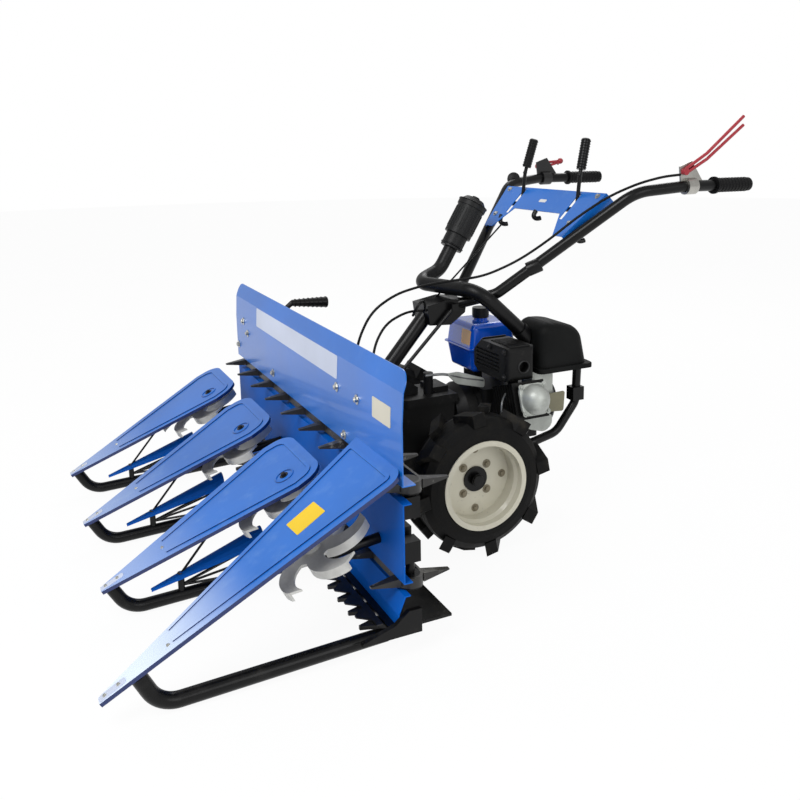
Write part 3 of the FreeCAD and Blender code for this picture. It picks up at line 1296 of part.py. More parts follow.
# --------------------------------------------------------------- handlebar
def handle_column():
    """Double tube from the header coupling up to the clamp block."""
    foot = point("0", "column_foot_y", "coupling_z + coupling_radius - 20")
    head = point("0", "column_head_y", "column_head_z")
    radius = size("column_tube")
    column = bar_between(foot, head, radius)
    barrel = Part.makeCylinder(size("coupling_radius - 12"), 400, V(0, -400, size("coupling_z")), V(0, 1, 0))
    return column.cut(barrel)


def handle_seat():
    """Clamp block on the column's head with the sockets of both handlebar tubes."""
    half = "seat_half"
    y = "column_head_y"
    z = "column_head_z"
    corners = [
        (f"{y} - 28", f"{z} - 42"), (f"{y} + 38", f"{z} - 46"), (f"{y} + 84", f"{z} - 14"),
        (f"{y} + 90", f"{z} + 22"), (f"{y} + 40", f"{z} + 27"), (f"{y} - 36", f"{z} + 14"),
    ]
    places = [point(f"-{half}", cy, cz) for cy, cz in corners]
    casting = Part.Face(Part.makePolygon(places + places[:1])).extrude(V(2 * size(half), 0, 0))
    return casting.fuse(link_rod()).cut([handle_column(), handle_tube_side(1), handle_tube_side(-1)])


def handle_places(side):
    end = "rear_reach - 6"
    return [
        point(f"{side} * (seat_half - 22)", "column_head_y + 56", "column_head_z + 6"),
        point(f"{side} * (seat_half + 52)", "column_head_y + 156", "column_head_z + 40"),
        point(f"{side} * (grip_x - 22)", "console_y + 45", "grip_z - 10"),
        point(f"{side} * (grip_x + 6)", "rear_reach - grip_run", "grip_z + 2"),
        point(f"{side} * grip_x", end, "grip_z"),
    ]


def handle_tube_side(side):
    return tube_along(handle_places(side), [60, 110, 90], size("handle_tube"))


def hand_grips():
    """Closed rubber grips with a flange, pushed over the tubes' ends."""
    grips = []
    for side in (1, -1):
        before, end = handle_places(side)[-2:]
        heading = (end - before).normalize()
        start = end - heading * size("grip_length - 6")
        sleeve = bar_between(start, end + heading * 6, size("grip_radius"))
        flange = bar_between(start, start + heading * 6, size("grip_radius") + 5)
        grips.append(sleeve.fuse(flange).cut(bar_between(before, end, size("handle_tube"))))
    keep_shape(Part.Compound(grips), "hand_grips")


def console_spot(x, back, under=0):
    """Place on the console's sloping face, back measured forwards from its rear edge."""
    return point(x, f"console_y - ({back})", f"console_z - ({back})") + V(0, under, -under) / math.sqrt(2)


def console_panel():
    """Sheet sloping at 45 degrees with a notch, two lever slots and folded edges."""
    half = size("console_half")
    leg = size("console_leg")
    notch = leg - size("console_notch")
    foot = console_edge(leg)
    inner = foot - 44
    corners = [
        console_spot(half, 0), console_spot(-half, 0), console_spot(-foot, leg), console_spot(-inner, leg),
        console_spot("0 - notch_half", notch), console_spot("notch_half", notch), console_spot(inner, leg),
        console_spot(foot, leg),
    ]
    sheet_thick = size("console_sheet")
    down = V(0, 1, -1) / math.sqrt(2)
    panel = Part.Face(Part.makePolygon(corners + corners[:1])).extrude(down * sheet_thick)
    deep = down * size("console_flange")
    folds = [Part.Face(Part.makePolygon([corners[1], corners[0], corners[0] + deep * 0.5, corners[1] + deep * 0.5,
                                         corners[1]])).extrude(V(0, -1, -1) / math.sqrt(2) * sheet_thick)]
    for top, low, inward in ((corners[0], corners[7], -1), (corners[1], corners[2], 1)):
        ring = [top, low, low + deep, top + deep, top]
        folds.append(Part.Face(Part.makePolygon(ring)).extrude(V(inward * sheet_thick, 0, 0)))
    panel = panel.fuse(folds)
    for side in (1, -1):
        width = size("slot_width")
        start = point(f"{side} * lever_x", "console_y - 6 - slot_length", "console_z - slot_length / 2")
        slot = Part.makeBox(width, size("slot_length"), 300, V(start.x - width / 2, start.y, start.z - 150))
        panel = panel.cut(slot)
    return panel.cut([handle_tube_side(1), handle_tube_side(-1)])


def console_edge(back):
    """Half the console's width, back measured forwards from its rear edge."""
    half = size("console_half")
    return half - half * size("console_taper") * back / size("console_leg")


def shift_levers():
    """Two levers with grips on one pivot bar held in the console's folded sides."""
    depth = size("console_flange") - 10
    rod_radius = size("lever_rod")
    pivot_back = size("lever_pivot_back")
    reach = console_edge(pivot_back) - size("console_sheet") / 2
    levers = bar_between(console_spot(-reach, pivot_back, depth), console_spot(reach, pivot_back, depth), rod_radius + 2)
    for side in (1, -1):
        low = console_spot(f"{side} * lever_x", pivot_back, depth)
        middle = console_spot(f"{side} * (lever_x - 1)", 8) + V(0, 0, 54)
        top = point(f"{side} * (lever_x - 10)", "console_y + 18", "lever_top")
        grip = top - (top - middle).normalize() * size("lever_grip_length")
        elbow = Part.makeSphere(rod_radius + 1, middle)
        stem = bar_between(low, middle, rod_radius).fuse([elbow, bar_between(middle, grip, rod_radius)])
        levers = levers.fuse([stem, bar_between(grip, top, size("lever_grip"))])
    # the bar's ends finish on the inner faces of the folded sides
    return max(levers.cut(console_panel()).Solids, key=lambda solid: solid.Volume)


def clutch_lever(side, reach):
    """Bracket clamped on a handlebar tube and the red two-bladed lever pivoted in it."""
    before = handle_places(side)[-2]
    root = point(f"{side} * (grip_x + 8)", "rear_reach - clutch_root", "grip_z + 30")
    tube = handle_tube_side(side)
    collar = bar_between(V(before.x, root.y + 12, before.z), V(before.x, root.y + 46, before.z), size("handle_tube") + 7)
    thick = size("bracket_sheet")
    profile = [
        root + V(0, -8, 26), root + V(0, 34, 40), root + V(0, 74, -14), root + V(0, 70, -40), root + V(0, 0, -40),
    ]
    ear = Part.Face(Part.makePolygon(profile + profile[:1])).extrude(V(-side * thick, 0, 0))
    bracket = collar.fuse(ear).cut(tube)
    blades = []
    for spread in (0, 1):
        pivot = root + V(side * size("blade_radius"), 6, 6 + 12 * spread)
        bend = root + V(side * (4 + size("blade_radius")), 78 * reach, 44 * reach**2 + 16 * spread)
        tip = point(f"{side} * (grip_x + 12)", f"rear_reach - clutch_root + (clutch_root - clutch_tip) * {reach}",
                    f"grip_z + 30 + (clutch_rise - 30 - 24 * {1 - spread}) * {reach}^2")
        blades.append(bar_between(pivot, bend, size("blade_radius")))
        blades.append(bar_between(bend, tip, size("blade_radius")))
        blades.append(Part.makeSphere(size("blade_radius"), bend))
    pin = Part.makeCylinder(9, 12, root + V(0, 6, 12), V(side, 0, 0))
    lever = pin.fuse(blades).cut(bracket)
    return bracket, lever


def header_lever():
    """Lever behind the upper board with a long grip."""
    back = "board_face + board_sheet"
    root = point("0 - divider_pitch", f"{back} - 4", "board_crease - 22")
    bend = point("0 - divider_pitch", f"{back} + 112", "board_fold + 4")
    end = bend + V(-4, 116, -8)
    grip = Part.makeCone(10, size("header_grip"), (end - bend).Length, bend, end - bend)
    rod_shape = bar_between(root, bend, 8).fuse([grip, Part.makeSphere(8, bend)])
    plate = Part.makeBox(44, 4, 44, root + V(-22, 4, -22))
    board = Part.makeBox(200, 60, 200, root + V(-100, -56, -100))
    return rod_shape.fuse(plate).cut(board)


def link_rod():
    """Straight rod from the clamp block down to the header coupling's flange."""
    top = point("link_x", "column_head_y + 42", "column_head_z + 6")
    low = point("link_x", "pulley_y + post_size / 2 + 10", "coupling_z - 16")
    block_side = size("seat_half")
    eye = Part.makeBox(size("link_x") - block_side + 8, 20, 20, V(block_side, top.y - 10, top.z - 10))
    flange = Part.makeCylinder(size("coupling_radius + 14"), 14,
                               point("0", "pulley_y + post_size / 2", "coupling_z"), V(0, 1, 0))
    return bar_between(top, low, size("link_radius")).fuse(eye).cut(flange)


def cleaner_axis():
    """Foot and direction of the leaning pre-cleaner."""
    return V(-150, 165, 757), V(0, 85, 140).normalize()


def hose_places():
    foot, heading = cleaner_axis()
    middle = "(cleaner_left + cleaner_right) / 2"
    return [
        point(middle, "cleaner_front + 43", "cleaner_high - 89"), point(middle, "cleaner_front - 151", "cleaner_high + 88"),
        V(-118, 34, 666), foot - heading * 74, foot,
    ]


def intake_hose():
    """Hose from the front of the air cleaner, in one wide turn, up to the pre-cleaner."""
    places = hose_places()
    hose = tube_along(places, [62, 46, 56], size("hose_radius"))
    run = (places[1] - places[0]).normalize()
    collar = bar_between(places[0] + run * 30, places[0] + run * 86, size("hose_radius") + 4)
    cleaner = doc.getObject("air_cleaner").Shape.copy()
    cleaner.Placement = Placement()
    return hose.fuse(collar).cut(cleaner)


def pre_cleaner():
    """Two-stepped can with a lidded top, on the hose's upper end."""
    start, heading = cleaner_axis()
    cup = size("cup_length")
    can = size("can_length")
    radius = size("can_radius")
    steps = [
        (0, cup, size("cup_radius")), (cup, can, radius), (cup + can, 16, radius + 3),
    ]
    shape = None
    for low, length, step_radius in steps:
        step = Part.makeCylinder(step_radius, length, start + heading * low, heading)
        shape = shape.fuse(step) if shape else step
    dome = Part.makeCone(radius, radius * 0.7, 14, start + heading * (cup + can + 16), heading)
    return shape.fuse(dome)


def cable(places):
    """Plain control cable through its points, each bend tangent to both runs."""
    radii = []
    for before, corner, after in zip(places, places[1:], places[2:]):
        shorter = min((corner - before).Length, (after - corner).Length)
        turn = (corner - before).getAngle(after - corner)
        radii.append(0.45 * shorter / math.tan(turn / 2))
    return tube_along(places, radii, size("cable_radius"))


def control_cables():
    """Two cables from the header coupling up over the clamp block and along the left tube."""
    routes = [
        [(33, -236, 288), (64, -246, 372), (84, -252, 462), (88, -246, 556), (90, -204, 636), (84, -130, 676),
         (68, -40, 690), (70, 50, 696), (104, 132, 706), (150, 214, 748), (196, 284, 806), (240, 344, 868),
         (282, 416, 924), (316, 490, 958), (336, 556, 974), (346, 606, 978)],
        [(52, -206, 288), (76, -204, 362), (86, -204, 448), (84, -196, 540), (62, -150, 594), (44, -74, 618),
         (38, 0, 612)],
    ]
    barrel = Part.makeCylinder(size("coupling_radius - 12"), 400, V(0, -400, size("coupling_z")), V(0, 1, 0))
    ends = [barrel, handle_seat(), handle_tube_side(1), clutch_lever(1, 1)[0]]
    cables = [cable([V(*place) for place in route]).cut(ends) for route in routes]
    return Part.Compound(cables)


# --------------------------------------------------------------- the machine
for side, hand in ((1, "left"), (-1, "right")):
    tyre(side, f"tyre_{hand}")
    rim(side, f"rim_{hand}")
    hub(side, f"hub_{hand}")
upper_backboard()
lower_backboard()
bottom_strip()
header_frame()
lug_belt("upper_lug_belt", "upper_belt_z")
lug_belt("lower_lug_belt", "lower_belt_z")
belt_pulleys()
cutter_guards()
knife()
end_shoes()
for index in range(4):
    divider_cover(index, f"divider_cover_{index + 1}")
    star_wheel(index, f"star_wheel_{index + 1}")
star_brackets()
keep_shape(Part.Compound([skid(index) for index in range(4)]), "skids")
keep_shape(Part.Compound([lower_divider(index) for index in range(3)]), "lower_dividers")
keep_shape(Part.Compound([lifter(index) for index in range(3)]), "divider_rods")
gearbox()
header_coupling()
gearbox_cover()
clutch_housing()
keep_shape(engine_casting(), "engine_block")
keep_shape(rocker_cover(), "rocker_cover")
muffler()
fuel_tank()
air_cleaner()
keep_shape(carburettor(), "carburettor")
recoil_cover()
keep_shape(rear_guard(), "rear_guard")
keep_shape(handle_column(), "handle_column")
keep_shape(handle_seat(), "handle_seat")
keep_shape(Part.Compound([handle_tube_side(1), handle_tube_side(-1)]), "handle_tubes")
hand_grips()
keep_shape(console_panel(), "console_panel")
keep_shape(shift_levers(), "shift_levers")
brackets = []
levers = []
for side, reach in ((1, 1), (-1, 0.42)):
    bracket, lever = clutch_lever(side, reach)
    brackets.append(bracket)
    levers.append(lever)
keep_shape(Part.Compound(brackets), "clutch_brackets")
keep_shape(Part.Compound(levers), "clutch_levers")
keep_shape(header_lever(), "header_lever")
keep_shape(intake_hose(), "intake_hose")
keep_shape(pre_cleaner(), "pre_cleaner")
keep_shape(control_cables(), "control_cables")
doc.recompute()

# --------------------------------------------------------------- check and write
for item in doc.Objects:
    if "Invalid" in item.State or "Error" in item.State:
        raise RuntimeError(f"{item.Label}: {item.State}")
os.makedirs("parts", exist_ok=True)
for item in subparts:
    if item.Shape.isNull() or not item.Shape.isValid():
        raise RuntimeError(item.Label)
    item.Shape.exportStep(f"parts/{item.Label}.step")
    box = item.Shape.BoundBox
    print(item.Label, len(item.Shape.Solids), round(item.Shape.Volume / 1000), "cm3",
          [round(v, 1) for v in (box.XMin, box.YMin, box.ZMin, box.XMax, box.YMax, box.ZMax)])
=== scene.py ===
import math

import bmesh
import bpy
from mathutils import Matrix, Vector


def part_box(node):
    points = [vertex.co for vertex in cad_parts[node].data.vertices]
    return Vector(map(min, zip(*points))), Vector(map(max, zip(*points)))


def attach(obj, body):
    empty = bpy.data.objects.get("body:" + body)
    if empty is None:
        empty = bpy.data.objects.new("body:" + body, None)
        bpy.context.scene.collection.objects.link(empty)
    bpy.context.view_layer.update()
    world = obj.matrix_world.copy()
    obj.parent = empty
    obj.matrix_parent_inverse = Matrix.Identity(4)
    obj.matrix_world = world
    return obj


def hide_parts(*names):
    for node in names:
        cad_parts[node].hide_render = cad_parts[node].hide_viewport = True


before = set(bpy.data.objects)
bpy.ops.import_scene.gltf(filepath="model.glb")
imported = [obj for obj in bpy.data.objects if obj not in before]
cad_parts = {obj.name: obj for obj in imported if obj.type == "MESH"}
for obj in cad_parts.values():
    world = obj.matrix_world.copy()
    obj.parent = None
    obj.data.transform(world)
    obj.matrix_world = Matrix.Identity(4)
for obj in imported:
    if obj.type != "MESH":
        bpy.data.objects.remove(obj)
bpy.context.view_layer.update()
print("frame loaded:", len(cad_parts), "parts")

# the drawing's own zero is on the floor under the axle's middle
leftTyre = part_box("tyre_left")
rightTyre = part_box("tyre_right")
zeroX = (leftTyre[1].x + rightTyre[0].x) / 2
zeroY = (leftTyre[0].y + leftTyre[1].y) / 2
wheelHigh = (leftTyre[0].z + leftTyre[1].z) / 2


def at(x, y, z):  # millimetres from the drawing's zero
    return Vector((zeroX + x / 1000, zeroY + y / 1000, z / 1000))


# camera, floor and lights

view = {
    "spot": (2175.4, -1080.2, 1082.8),
    "yaw": 64.244,
    "pitch": 11.206,
    "roll": -0.896,
    "lens": 39.14,
    "shift": (-0.019, -0.1104),
}


def placeCamera(view):
    yaw, pitch, roll = (math.radians(view[key]) for key in ("yaw", "pitch", "roll"))
    camera = bpy.data.objects.new("camera", bpy.data.cameras.new("camera"))
    bpy.context.scene.collection.objects.link(camera)
    turn = Matrix.Rotation(yaw, 4, "Z") @ Matrix.Rotation(math.pi / 2 - pitch, 4, "X")
    turn = turn @ Matrix.Rotation(roll, 4, "Z")
    camera.matrix_world = Matrix.Translation(at(*view["spot"])) @ turn
    camera.data.sensor_width = 36
    camera.data.lens = view["lens"]
    camera.data.shift_x, camera.data.shift_y = view["shift"]
    camera.data.clip_end = 60
    bpy.context.scene.camera = camera


studio = {
    "sky": 0.62,
    "floorGlow": 0.945,
    "floorRadius": 14,
    "aim": (0, -200, 450),
    "key": {"spot": (1.6, -2.6, 3.4), "size": 2.2, "power": 100},
    "side": {"spot": (4.0, 0.6, 2.0), "size": 2.4, "power": 34},
    "back": {"spot": (-2.4, 2.2, 3.2), "size": 2.4, "power": 46},
}


def lampAt(name, lamp, target):
    light = bpy.data.lights.new(name, "AREA")
    light.shape = "DISK"
    light.size = lamp["size"]
    light.energy = lamp["power"]
    holder = bpy.data.objects.new(name, light)
    holder.location = lamp["spot"]
    holder.rotation_euler = (target - Vector(lamp["spot"])).to_track_quat("-Z", "Y").to_euler()
    bpy.context.scene.collection.objects.link(holder)


# shader sums written as plain expressions

class Wire:
    def __init__(self, finish, socket):
        self.finish = finish
        self.socket = socket

    def sum(self, operation, *values):
        return self.finish.add("ShaderNodeMath", {"operation": operation}, dict(enumerate(values)))

    def __add__(self, other):
        return self.sum("ADD", self, other)

    def __radd__(self, other):
        return self.sum("ADD", other, self)

    def __sub__(self, other):
        return self.sum("SUBTRACT", self, other)

    def __rsub__(self, other):
        return self.sum("SUBTRACT", other, self)

    def __mul__(self, other):
        return self.sum("MULTIPLY", self, other)

    def __rmul__(self, other):
        return self.sum("MULTIPLY", other, self)

    def __pow__(self, other):
        return self.sum("POWER", self, other)

    def clamp(self):
        return self.finish.add("ShaderNodeClamp", {}, {0: self})

    def largest(self, other):
        return self.sum("MAXIMUM", self, other)

    def above(self, low, high):  # 0 below low, 1 over high, smooth between
        settings = {"interpolation_type": "SMOOTHSTEP"}
        values = {0: self, 1: low, 2: high, 3: 0.0, 4: 1.0}
        return self.finish.add("ShaderNodeMapRange", settings, values)


class Finish:
    def __init__(self, name, **fixed):
        self.material = bpy.data.materials.new(name)
        self.material.use_nodes = True
        self.tree = self.material.node_tree
        self.shader = self.tree.nodes["Principled BSDF"]
        self.spot = self.add("ShaderNodeTexCoord", {}, {}, "Object")
        for socket, value in fixed.items():
            self.shader.inputs[socket.replace("_", " ")].default_value = value

    def add(self, kind, settings, values, output=0):
        node = self.tree.nodes.new(kind)
        for name, value in settings.items():
            setattr(node, name, value)
        for socket, value in values.items():
            self.fill(node.inputs[socket], value)
        return Wire(self, node.outputs[output])

    def fill(self, socket, value):
        if isinstance(value, Wire):
            self.tree.links.new(value.socket, socket)
        else:
            socket.default_value = value

    def noise(self, scale, detail=3.0, rough=0.5, spot=None):
        values = {"Vector": spot or self.spot, "Scale": scale, "Detail": detail, "Roughness": rough}
        return self.add("ShaderNodeTexNoise", {}, values)

    def cells(self, scale, feature="F1"):
        values = {"Vector": self.spot, "Scale": scale}
        return self.add("ShaderNodeTexVoronoi", {"feature": feature}, values)

    def part(self, axis, spot=None):
        return self.add("ShaderNodeSeparateXYZ", {}, {0: spot or self.spot}, axis)

    def stretched(self, scale, shift=(0, 0, 0)):
        return self.add("ShaderNodeMapping", {}, {0: self.spot, "Scale": scale, "Location": shift})

    def blend(self, share, first, second):
        return self.add("ShaderNodeMix", {"data_type": "RGBA"}, {0: share, 6: first, 7: second}, 2)

    def facing(self, axis):  # how far the surface looks along an axis
        return self.part(axis, self.add("ShaderNodeNewGeometry", {}, {}, "Normal"))

    def bump(self, height, strength):
        values = {"Height": height, "Strength": strength, "Distance": 0.001}
        self.fill(self.shader.inputs["Normal"], self.add("ShaderNodeBump", {}, values))

    def show(self, **surface):
        for socket, value in surface.items():
            self.fill(self.shader.inputs[socket.replace("_", " ")], value)
        return self.material


def tone(red, green, blue):  # screen values, 0 to 255
    def linear(value):
        value /= 255
        return value / 12.92 if value <= 0.04045 else ((value + 0.055) / 1.055) ** 2.4
    return (linear(red), linear(green), linear(blue), 1.0)


def shade(colour, share, lift=0.0):  # the same colour, darker or lighter
    return [channel * share + lift for channel in colour[:3]] + [1.0]


# finishes

def enamel(name, colour, dust, gloss=0.24, peel=0.05, coat=0.5, chips=0.68, shine=0.5, haze=1.0,
           nose=None):
    finish = Finish(name, Coat_Roughness=0.06, Specular_IOR_Level=shine)
    cloud = finish.noise(3.2, 4)
    streak = finish.noise(60, 4, 0.6, finish.stretched((1, 0.12, 1)))
    film = finish.noise(22, 6, 0.62).above(0.5, 0.82)
    settled = film * (0.35 + finish.facing(2).clamp() * 0.65) * (0.16 * haze)
    low = 1 - finish.part(2).above(0.04, 0.42)
    chip = finish.noise(120, 3, 0.7).above(chips, chips + 0.03) * finish.noise(7, 2).above(0.52, 0.64)
    base = finish.blend(cloud.above(0.3, 0.75), shade(colour, 0.82), colour)
    base = finish.blend((settled + low * film * (0.14 * haze)).clamp(), base, dust)
    base = finish.blend(chip * 0.6, base, tone(74, 78, 82))
    if nose:  # painted reflection that grows towards the noses, most on the long cover, and painted shade darkening the folded edges
        start, end, share, paintedSheen, edge = nose
        forward = 1 - finish.part(1).above(zeroY + end / 1000, zeroY + start / 1000)
        longOne = finish.part(0).above(0.35, 0.5)
        upward = finish.facing(2).above(0.4, 0.8)
        strength = (0.4 + longOne * 0.6) * (share + (cloud - 0.5) * 0.2)
        # painted reflection: the noses fade towards a pale tint, most on the long cover
        base = finish.blend((forward * strength).clamp(), base, paintedSheen)
        # painted shade: faces that don't look up take the dark navy edge colour
        base = finish.blend(upward, edge, base)
    finish.bump(finish.noise(240, 2) * 0.5 + streak * 0.25 - chip * 0.8, peel)
    rough = gloss + (cloud - 0.5) * 0.1 + settled * 0.8 + streak * 0.05 + chip * 0.25
    clean = 1 - (settled * 3).clamp()
    return finish.show(Base_Color=base, Roughness=rough.clamp(), Coat_Weight=coat * clean)


def casting(name, colour, dust, metal, rough, grain=150, depth=0.3, wearAndLitTops=0.2, shine=0.5):
    finish = Finish(name, Specular_IOR_Level=shine)
    patch = finish.noise(9, 5, 0.6)
    sand = finish.noise(grain, 4, 0.7)
    pits = finish.cells(grain * 1.7).above(0.0, 0.45)
    rub = finish.noise(34, 5, 0.7).above(0.58, 0.7)
    base = finish.blend(patch.above(0.32, 0.7), shade(colour, 0.62), colour)
    base = finish.blend(rub * wearAndLitTops, base, dust)
    # dust settled on faces that look up; at the lug belts' high setting it is also painted light on their tops
    settled = finish.facing(2).clamp() * finish.noise(14, 5).above(0.45, 0.75)
    base = finish.blend(settled * wearAndLitTops, base, dust)
    finish.bump(sand * 0.6 + pits * 0.4, depth)
    gloss = rough + (patch - 0.5) * 0.22 + (sand - 0.5) * 0.12
    return finish.show(Base_Color=base, Metallic=metal, Roughness=gloss.clamp())


def moulded(name, colour, dust, rough, grain=420, depth=0.12, powder=0.2, shine=0.3):
    finish = Finish(name, Specular_IOR_Level=shine)
    patch = finish.noise(6, 4, 0.55)
    leather = finish.cells(grain, "DISTANCE_TO_EDGE").above(0.0, 0.3)
    settled = finish.noise(26, 6, 0.65).above(0.48, 0.8) * (0.3 + finish.facing(2).clamp() * 0.7)
    base = finish.blend(patch.above(0.3, 0.75), colour, shade(colour, 1.5, 0.004))
    base = finish.blend(settled * powder, base, dust)
    finish.bump(leather * 0.5 + finish.noise(grain * 0.5, 2) * 0.5, depth)
    gloss = rough + (patch - 0.5) * 0.16 + settled * 0.2
    return finish.show(Base_Color=base, Roughness=gloss.clamp())


def bareMetal(name, colour, rough, lines=(1, 1, 1), stain=(120, 104, 84), metal=1.0, farSide=None):
    finish = Finish(name)
    brushed = finish.noise(420, 3, 0.6, finish.stretched(lines))
    cloud = finish.noise(18, 5, 0.6)
    spots = finish.noise(75, 4, 0.7).above(0.6, 0.72)
    base = finish.blend(cloud.above(0.3, 0.75), shade(colour, 0.8), colour)
    base = finish.blend(spots * 0.3, base, tone(*stain))
    if farSide:
        far = 1 - finish.part(0).above(-0.01, 0.01)
        base = finish.blend(far, base, farSide)
        metal = 1 - far
    finish.bump(brushed, 0.12)
    gloss = rough + (brushed - 0.5) * 0.14 + (cloud - 0.5) * 0.14 + spots * 0.15
    return finish.show(Base_Color=base, Metallic=metal - spots * 0.4 * metal, Roughness=gloss.clamp())


def treadRubber(name, colour, dust):  # fine rings on the walls, dust where it meets the ground
    finish = Finish(name, Specular_IOR_Level=0.12)
    wheel = finish.stretched((1, 1, 1), (0, -zeroY, -wheelHigh))
    across, up = finish.part(1, wheel), finish.part(2, wheel)
    reach = (across ** 2 + up ** 2) ** 0.5
    rings = finish.add("ShaderNodeMath", {"operation": "SINE"}, {0: reach * 1800})
    wall = reach.above(0.126, 0.13) * (1 - reach.above(0.15, 0.154))
    settled = finish.noise(30, 6, 0.65).above(0.42, 0.75)
    ground = reach.above(0.168, 0.192)
    base = finish.blend(settled * (0.12 + ground * 0.3), colour, dust)
    base = finish.blend(finish.noise(8, 3).above(0.4, 0.7) * 0.5, base, shade(colour, 1.9))
    finish.bump(rings * wall * 0.5 + finish.noise(260, 3, 0.6) * 0.5, 0.4)
    rough = 0.62 + (settled - 0.5) * 0.2 + (finish.noise(14, 3) - 0.5) * 0.15
    return finish.show(Base_Color=base, Roughness=rough.clamp())


darkDust = tone(92, 90, 86)
finishes = {
    "blue": enamel("blueEnamel", tone(12, 106, 200), tone(140, 172, 204), gloss=0.3, peel=0.03,
                   coat=0.28, chips=0.76),
    "cover": enamel("coverEnamel", tone(12, 106, 200), tone(140, 172, 204), gloss=0.28, peel=0.03,
                    coat=0.3, chips=0.76,
                    # the nose entry's last two colours are the painted reflection tint and the painted shade
                    # of the covers' sides
                    nose=(-670, -930, 0.95, tone(220, 232, 248), tone(6, 34, 92))),
    # a darker copy of the blue enamel with no coat for the lower board, strip and dividers: partly the paint's
    # duller look, partly painted shade
    "deep": enamel("deepBlueWithPaintedShade", tone(0, 92, 190), tone(60, 110, 170), gloss=0.5, peel=0.03, coat=0.0,
                   chips=0.76, shine=0.1, haze=0.4),
    "tank": enamel("tankEnamel", tone(4, 88, 214), tone(110, 150, 205), gloss=0.14, peel=0.03,
                   coat=0.7, chips=0.76),
    "black": enamel("blackEnamel", tone(7, 7, 8), darkDust, gloss=0.3, peel=0.05, coat=0.07,
                    chips=0.74, shine=0.2, haze=0.5),
    "cast": casting("blackCasting", tone(14, 14, 14), darkDust, metal=0.0, rough=0.5, grain=150,
                    depth=0.3, wearAndLitTops=0.12, shine=0.2),
    "alloy": casting("dieCastAlloy", tone(188, 192, 186), tone(118, 116, 108), metal=0.35, rough=0.42,
                     grain=220, depth=0.14),
    "star": casting("starAlloy", tone(212, 212, 208), tone(132, 128, 120), metal=0.2, rough=0.4,
                    grain=260, depth=0.1, wearAndLitTops=0.2),
    # lugResin: dark, with pale upward faces that are partly dust and partly painted light on the lit tops
    "lug": casting("lugResin", tone(44, 43, 42), tone(150, 148, 142), metal=0.0, rough=0.36, grain=260,
                   depth=0.1, wearAndLitTops=0.55, shine=0.4),
    "plastic": moulded("blackResin", tone(12, 13, 14), darkDust, rough=0.42, grain=420, depth=0.12,
                       powder=0.14, shine=0.2),
    "shell": moulded("cleanerResin", tone(5, 6, 6), darkDust, rough=0.55, grain=300, depth=0.16,
                     powder=0.05, shine=0.1),
    "grip": moulded("gripRubber", tone(6, 6, 7), darkDust, rough=0.5, grain=260, depth=0.25,
                    powder=0.08, shine=0.15),
    "hose": moulded("hoseRubber", tone(6, 6, 7), darkDust, rough=0.36, grain=200, depth=0.08,
                    powder=0.1, shine=0.2),
    "tyre": treadRubber("tyreRubber", tone(7, 7, 7), tone(70, 66, 58)),
    "rim": enamel("creamEnamel", tone(206, 202, 184), tone(126, 116, 96), gloss=0.34, peel=0.06,
                  coat=0.2, chips=0.66, shine=0.4),
    "zinc": bareMetal("zincPlate", tone(198, 198, 192), rough=0.3),
    "steel": bareMetal("brightSteel", tone(205, 206, 206), rough=0.26, lines=(1, 0.1, 1)),
    "dark": bareMetal("temperedSteel", tone(26, 26, 27), rough=0.46, lines=(0.2, 1, 1),
                      stain=(70, 60, 50), metal=0.3),
    "knife": bareMetal("knifeSteel", tone(62, 62, 64), rough=0.34, lines=(0.2, 1, 1),
                       stain=(70, 60, 50), metal=0.8),
    "pale": casting("shoulderSteel", tone(128, 130, 132), tone(70, 68, 64), metal=0.8, rough=0.4,
                    grain=240, depth=0.08, wearAndLitTops=0.3),
    "olive": enamel("oliveEnamel", tone(112, 108, 84), tone(150, 146, 130), gloss=0.36, peel=0.04,
                    coat=0.2, chips=0.7),
    "stud": enamel("studEnamel", tone(132, 124, 104), tone(110, 96, 74), gloss=0.4, peel=0.05,
                   coat=0.1, chips=0.6, shine=0.3),
    "clamp": bareMetal("clampSteel", tone(188, 186, 180), rough=0.34, farSide=tone(16, 16, 17)),
    "frost": enamel("frostVinyl", tone(196, 205, 226), tone(170, 184, 212), gloss=0.34, peel=0.01,
                    coat=0.3, chips=0.95),
    "beige": enamel("beigeVinyl", tone(206, 200, 180), tone(184, 180, 164), gloss=0.34, peel=0.01,
                    coat=0.3, chips=0.95),
    "red": enamel("redDip", tone(158, 44, 54), tone(190, 150, 140), gloss=0.34, peel=0.05, coat=0.25,
                  chips=0.68, shine=0.3),
    "yellow": enamel("yellowVinyl", tone(236, 198, 44), tone(214, 196, 150), gloss=0.34, peel=0.01,
                     coat=0.1, chips=0.95, shine=0.2),
    "white": enamel("whiteVinyl", tone(222, 222, 222), tone(184, 190, 204), gloss=0.34, peel=0.01,
                    coat=0.3, chips=0.95),
    # the label's colour is raised above its own so it reads lit where it sits in the tank's shade: painted
    # light
    "amber": enamel("amberVinyl", tone(250, 186, 104), tone(200, 170, 120), gloss=0.34, peel=0.01,
                    coat=0.3, chips=0.95),
}
print("finishes made:", len(finishes))

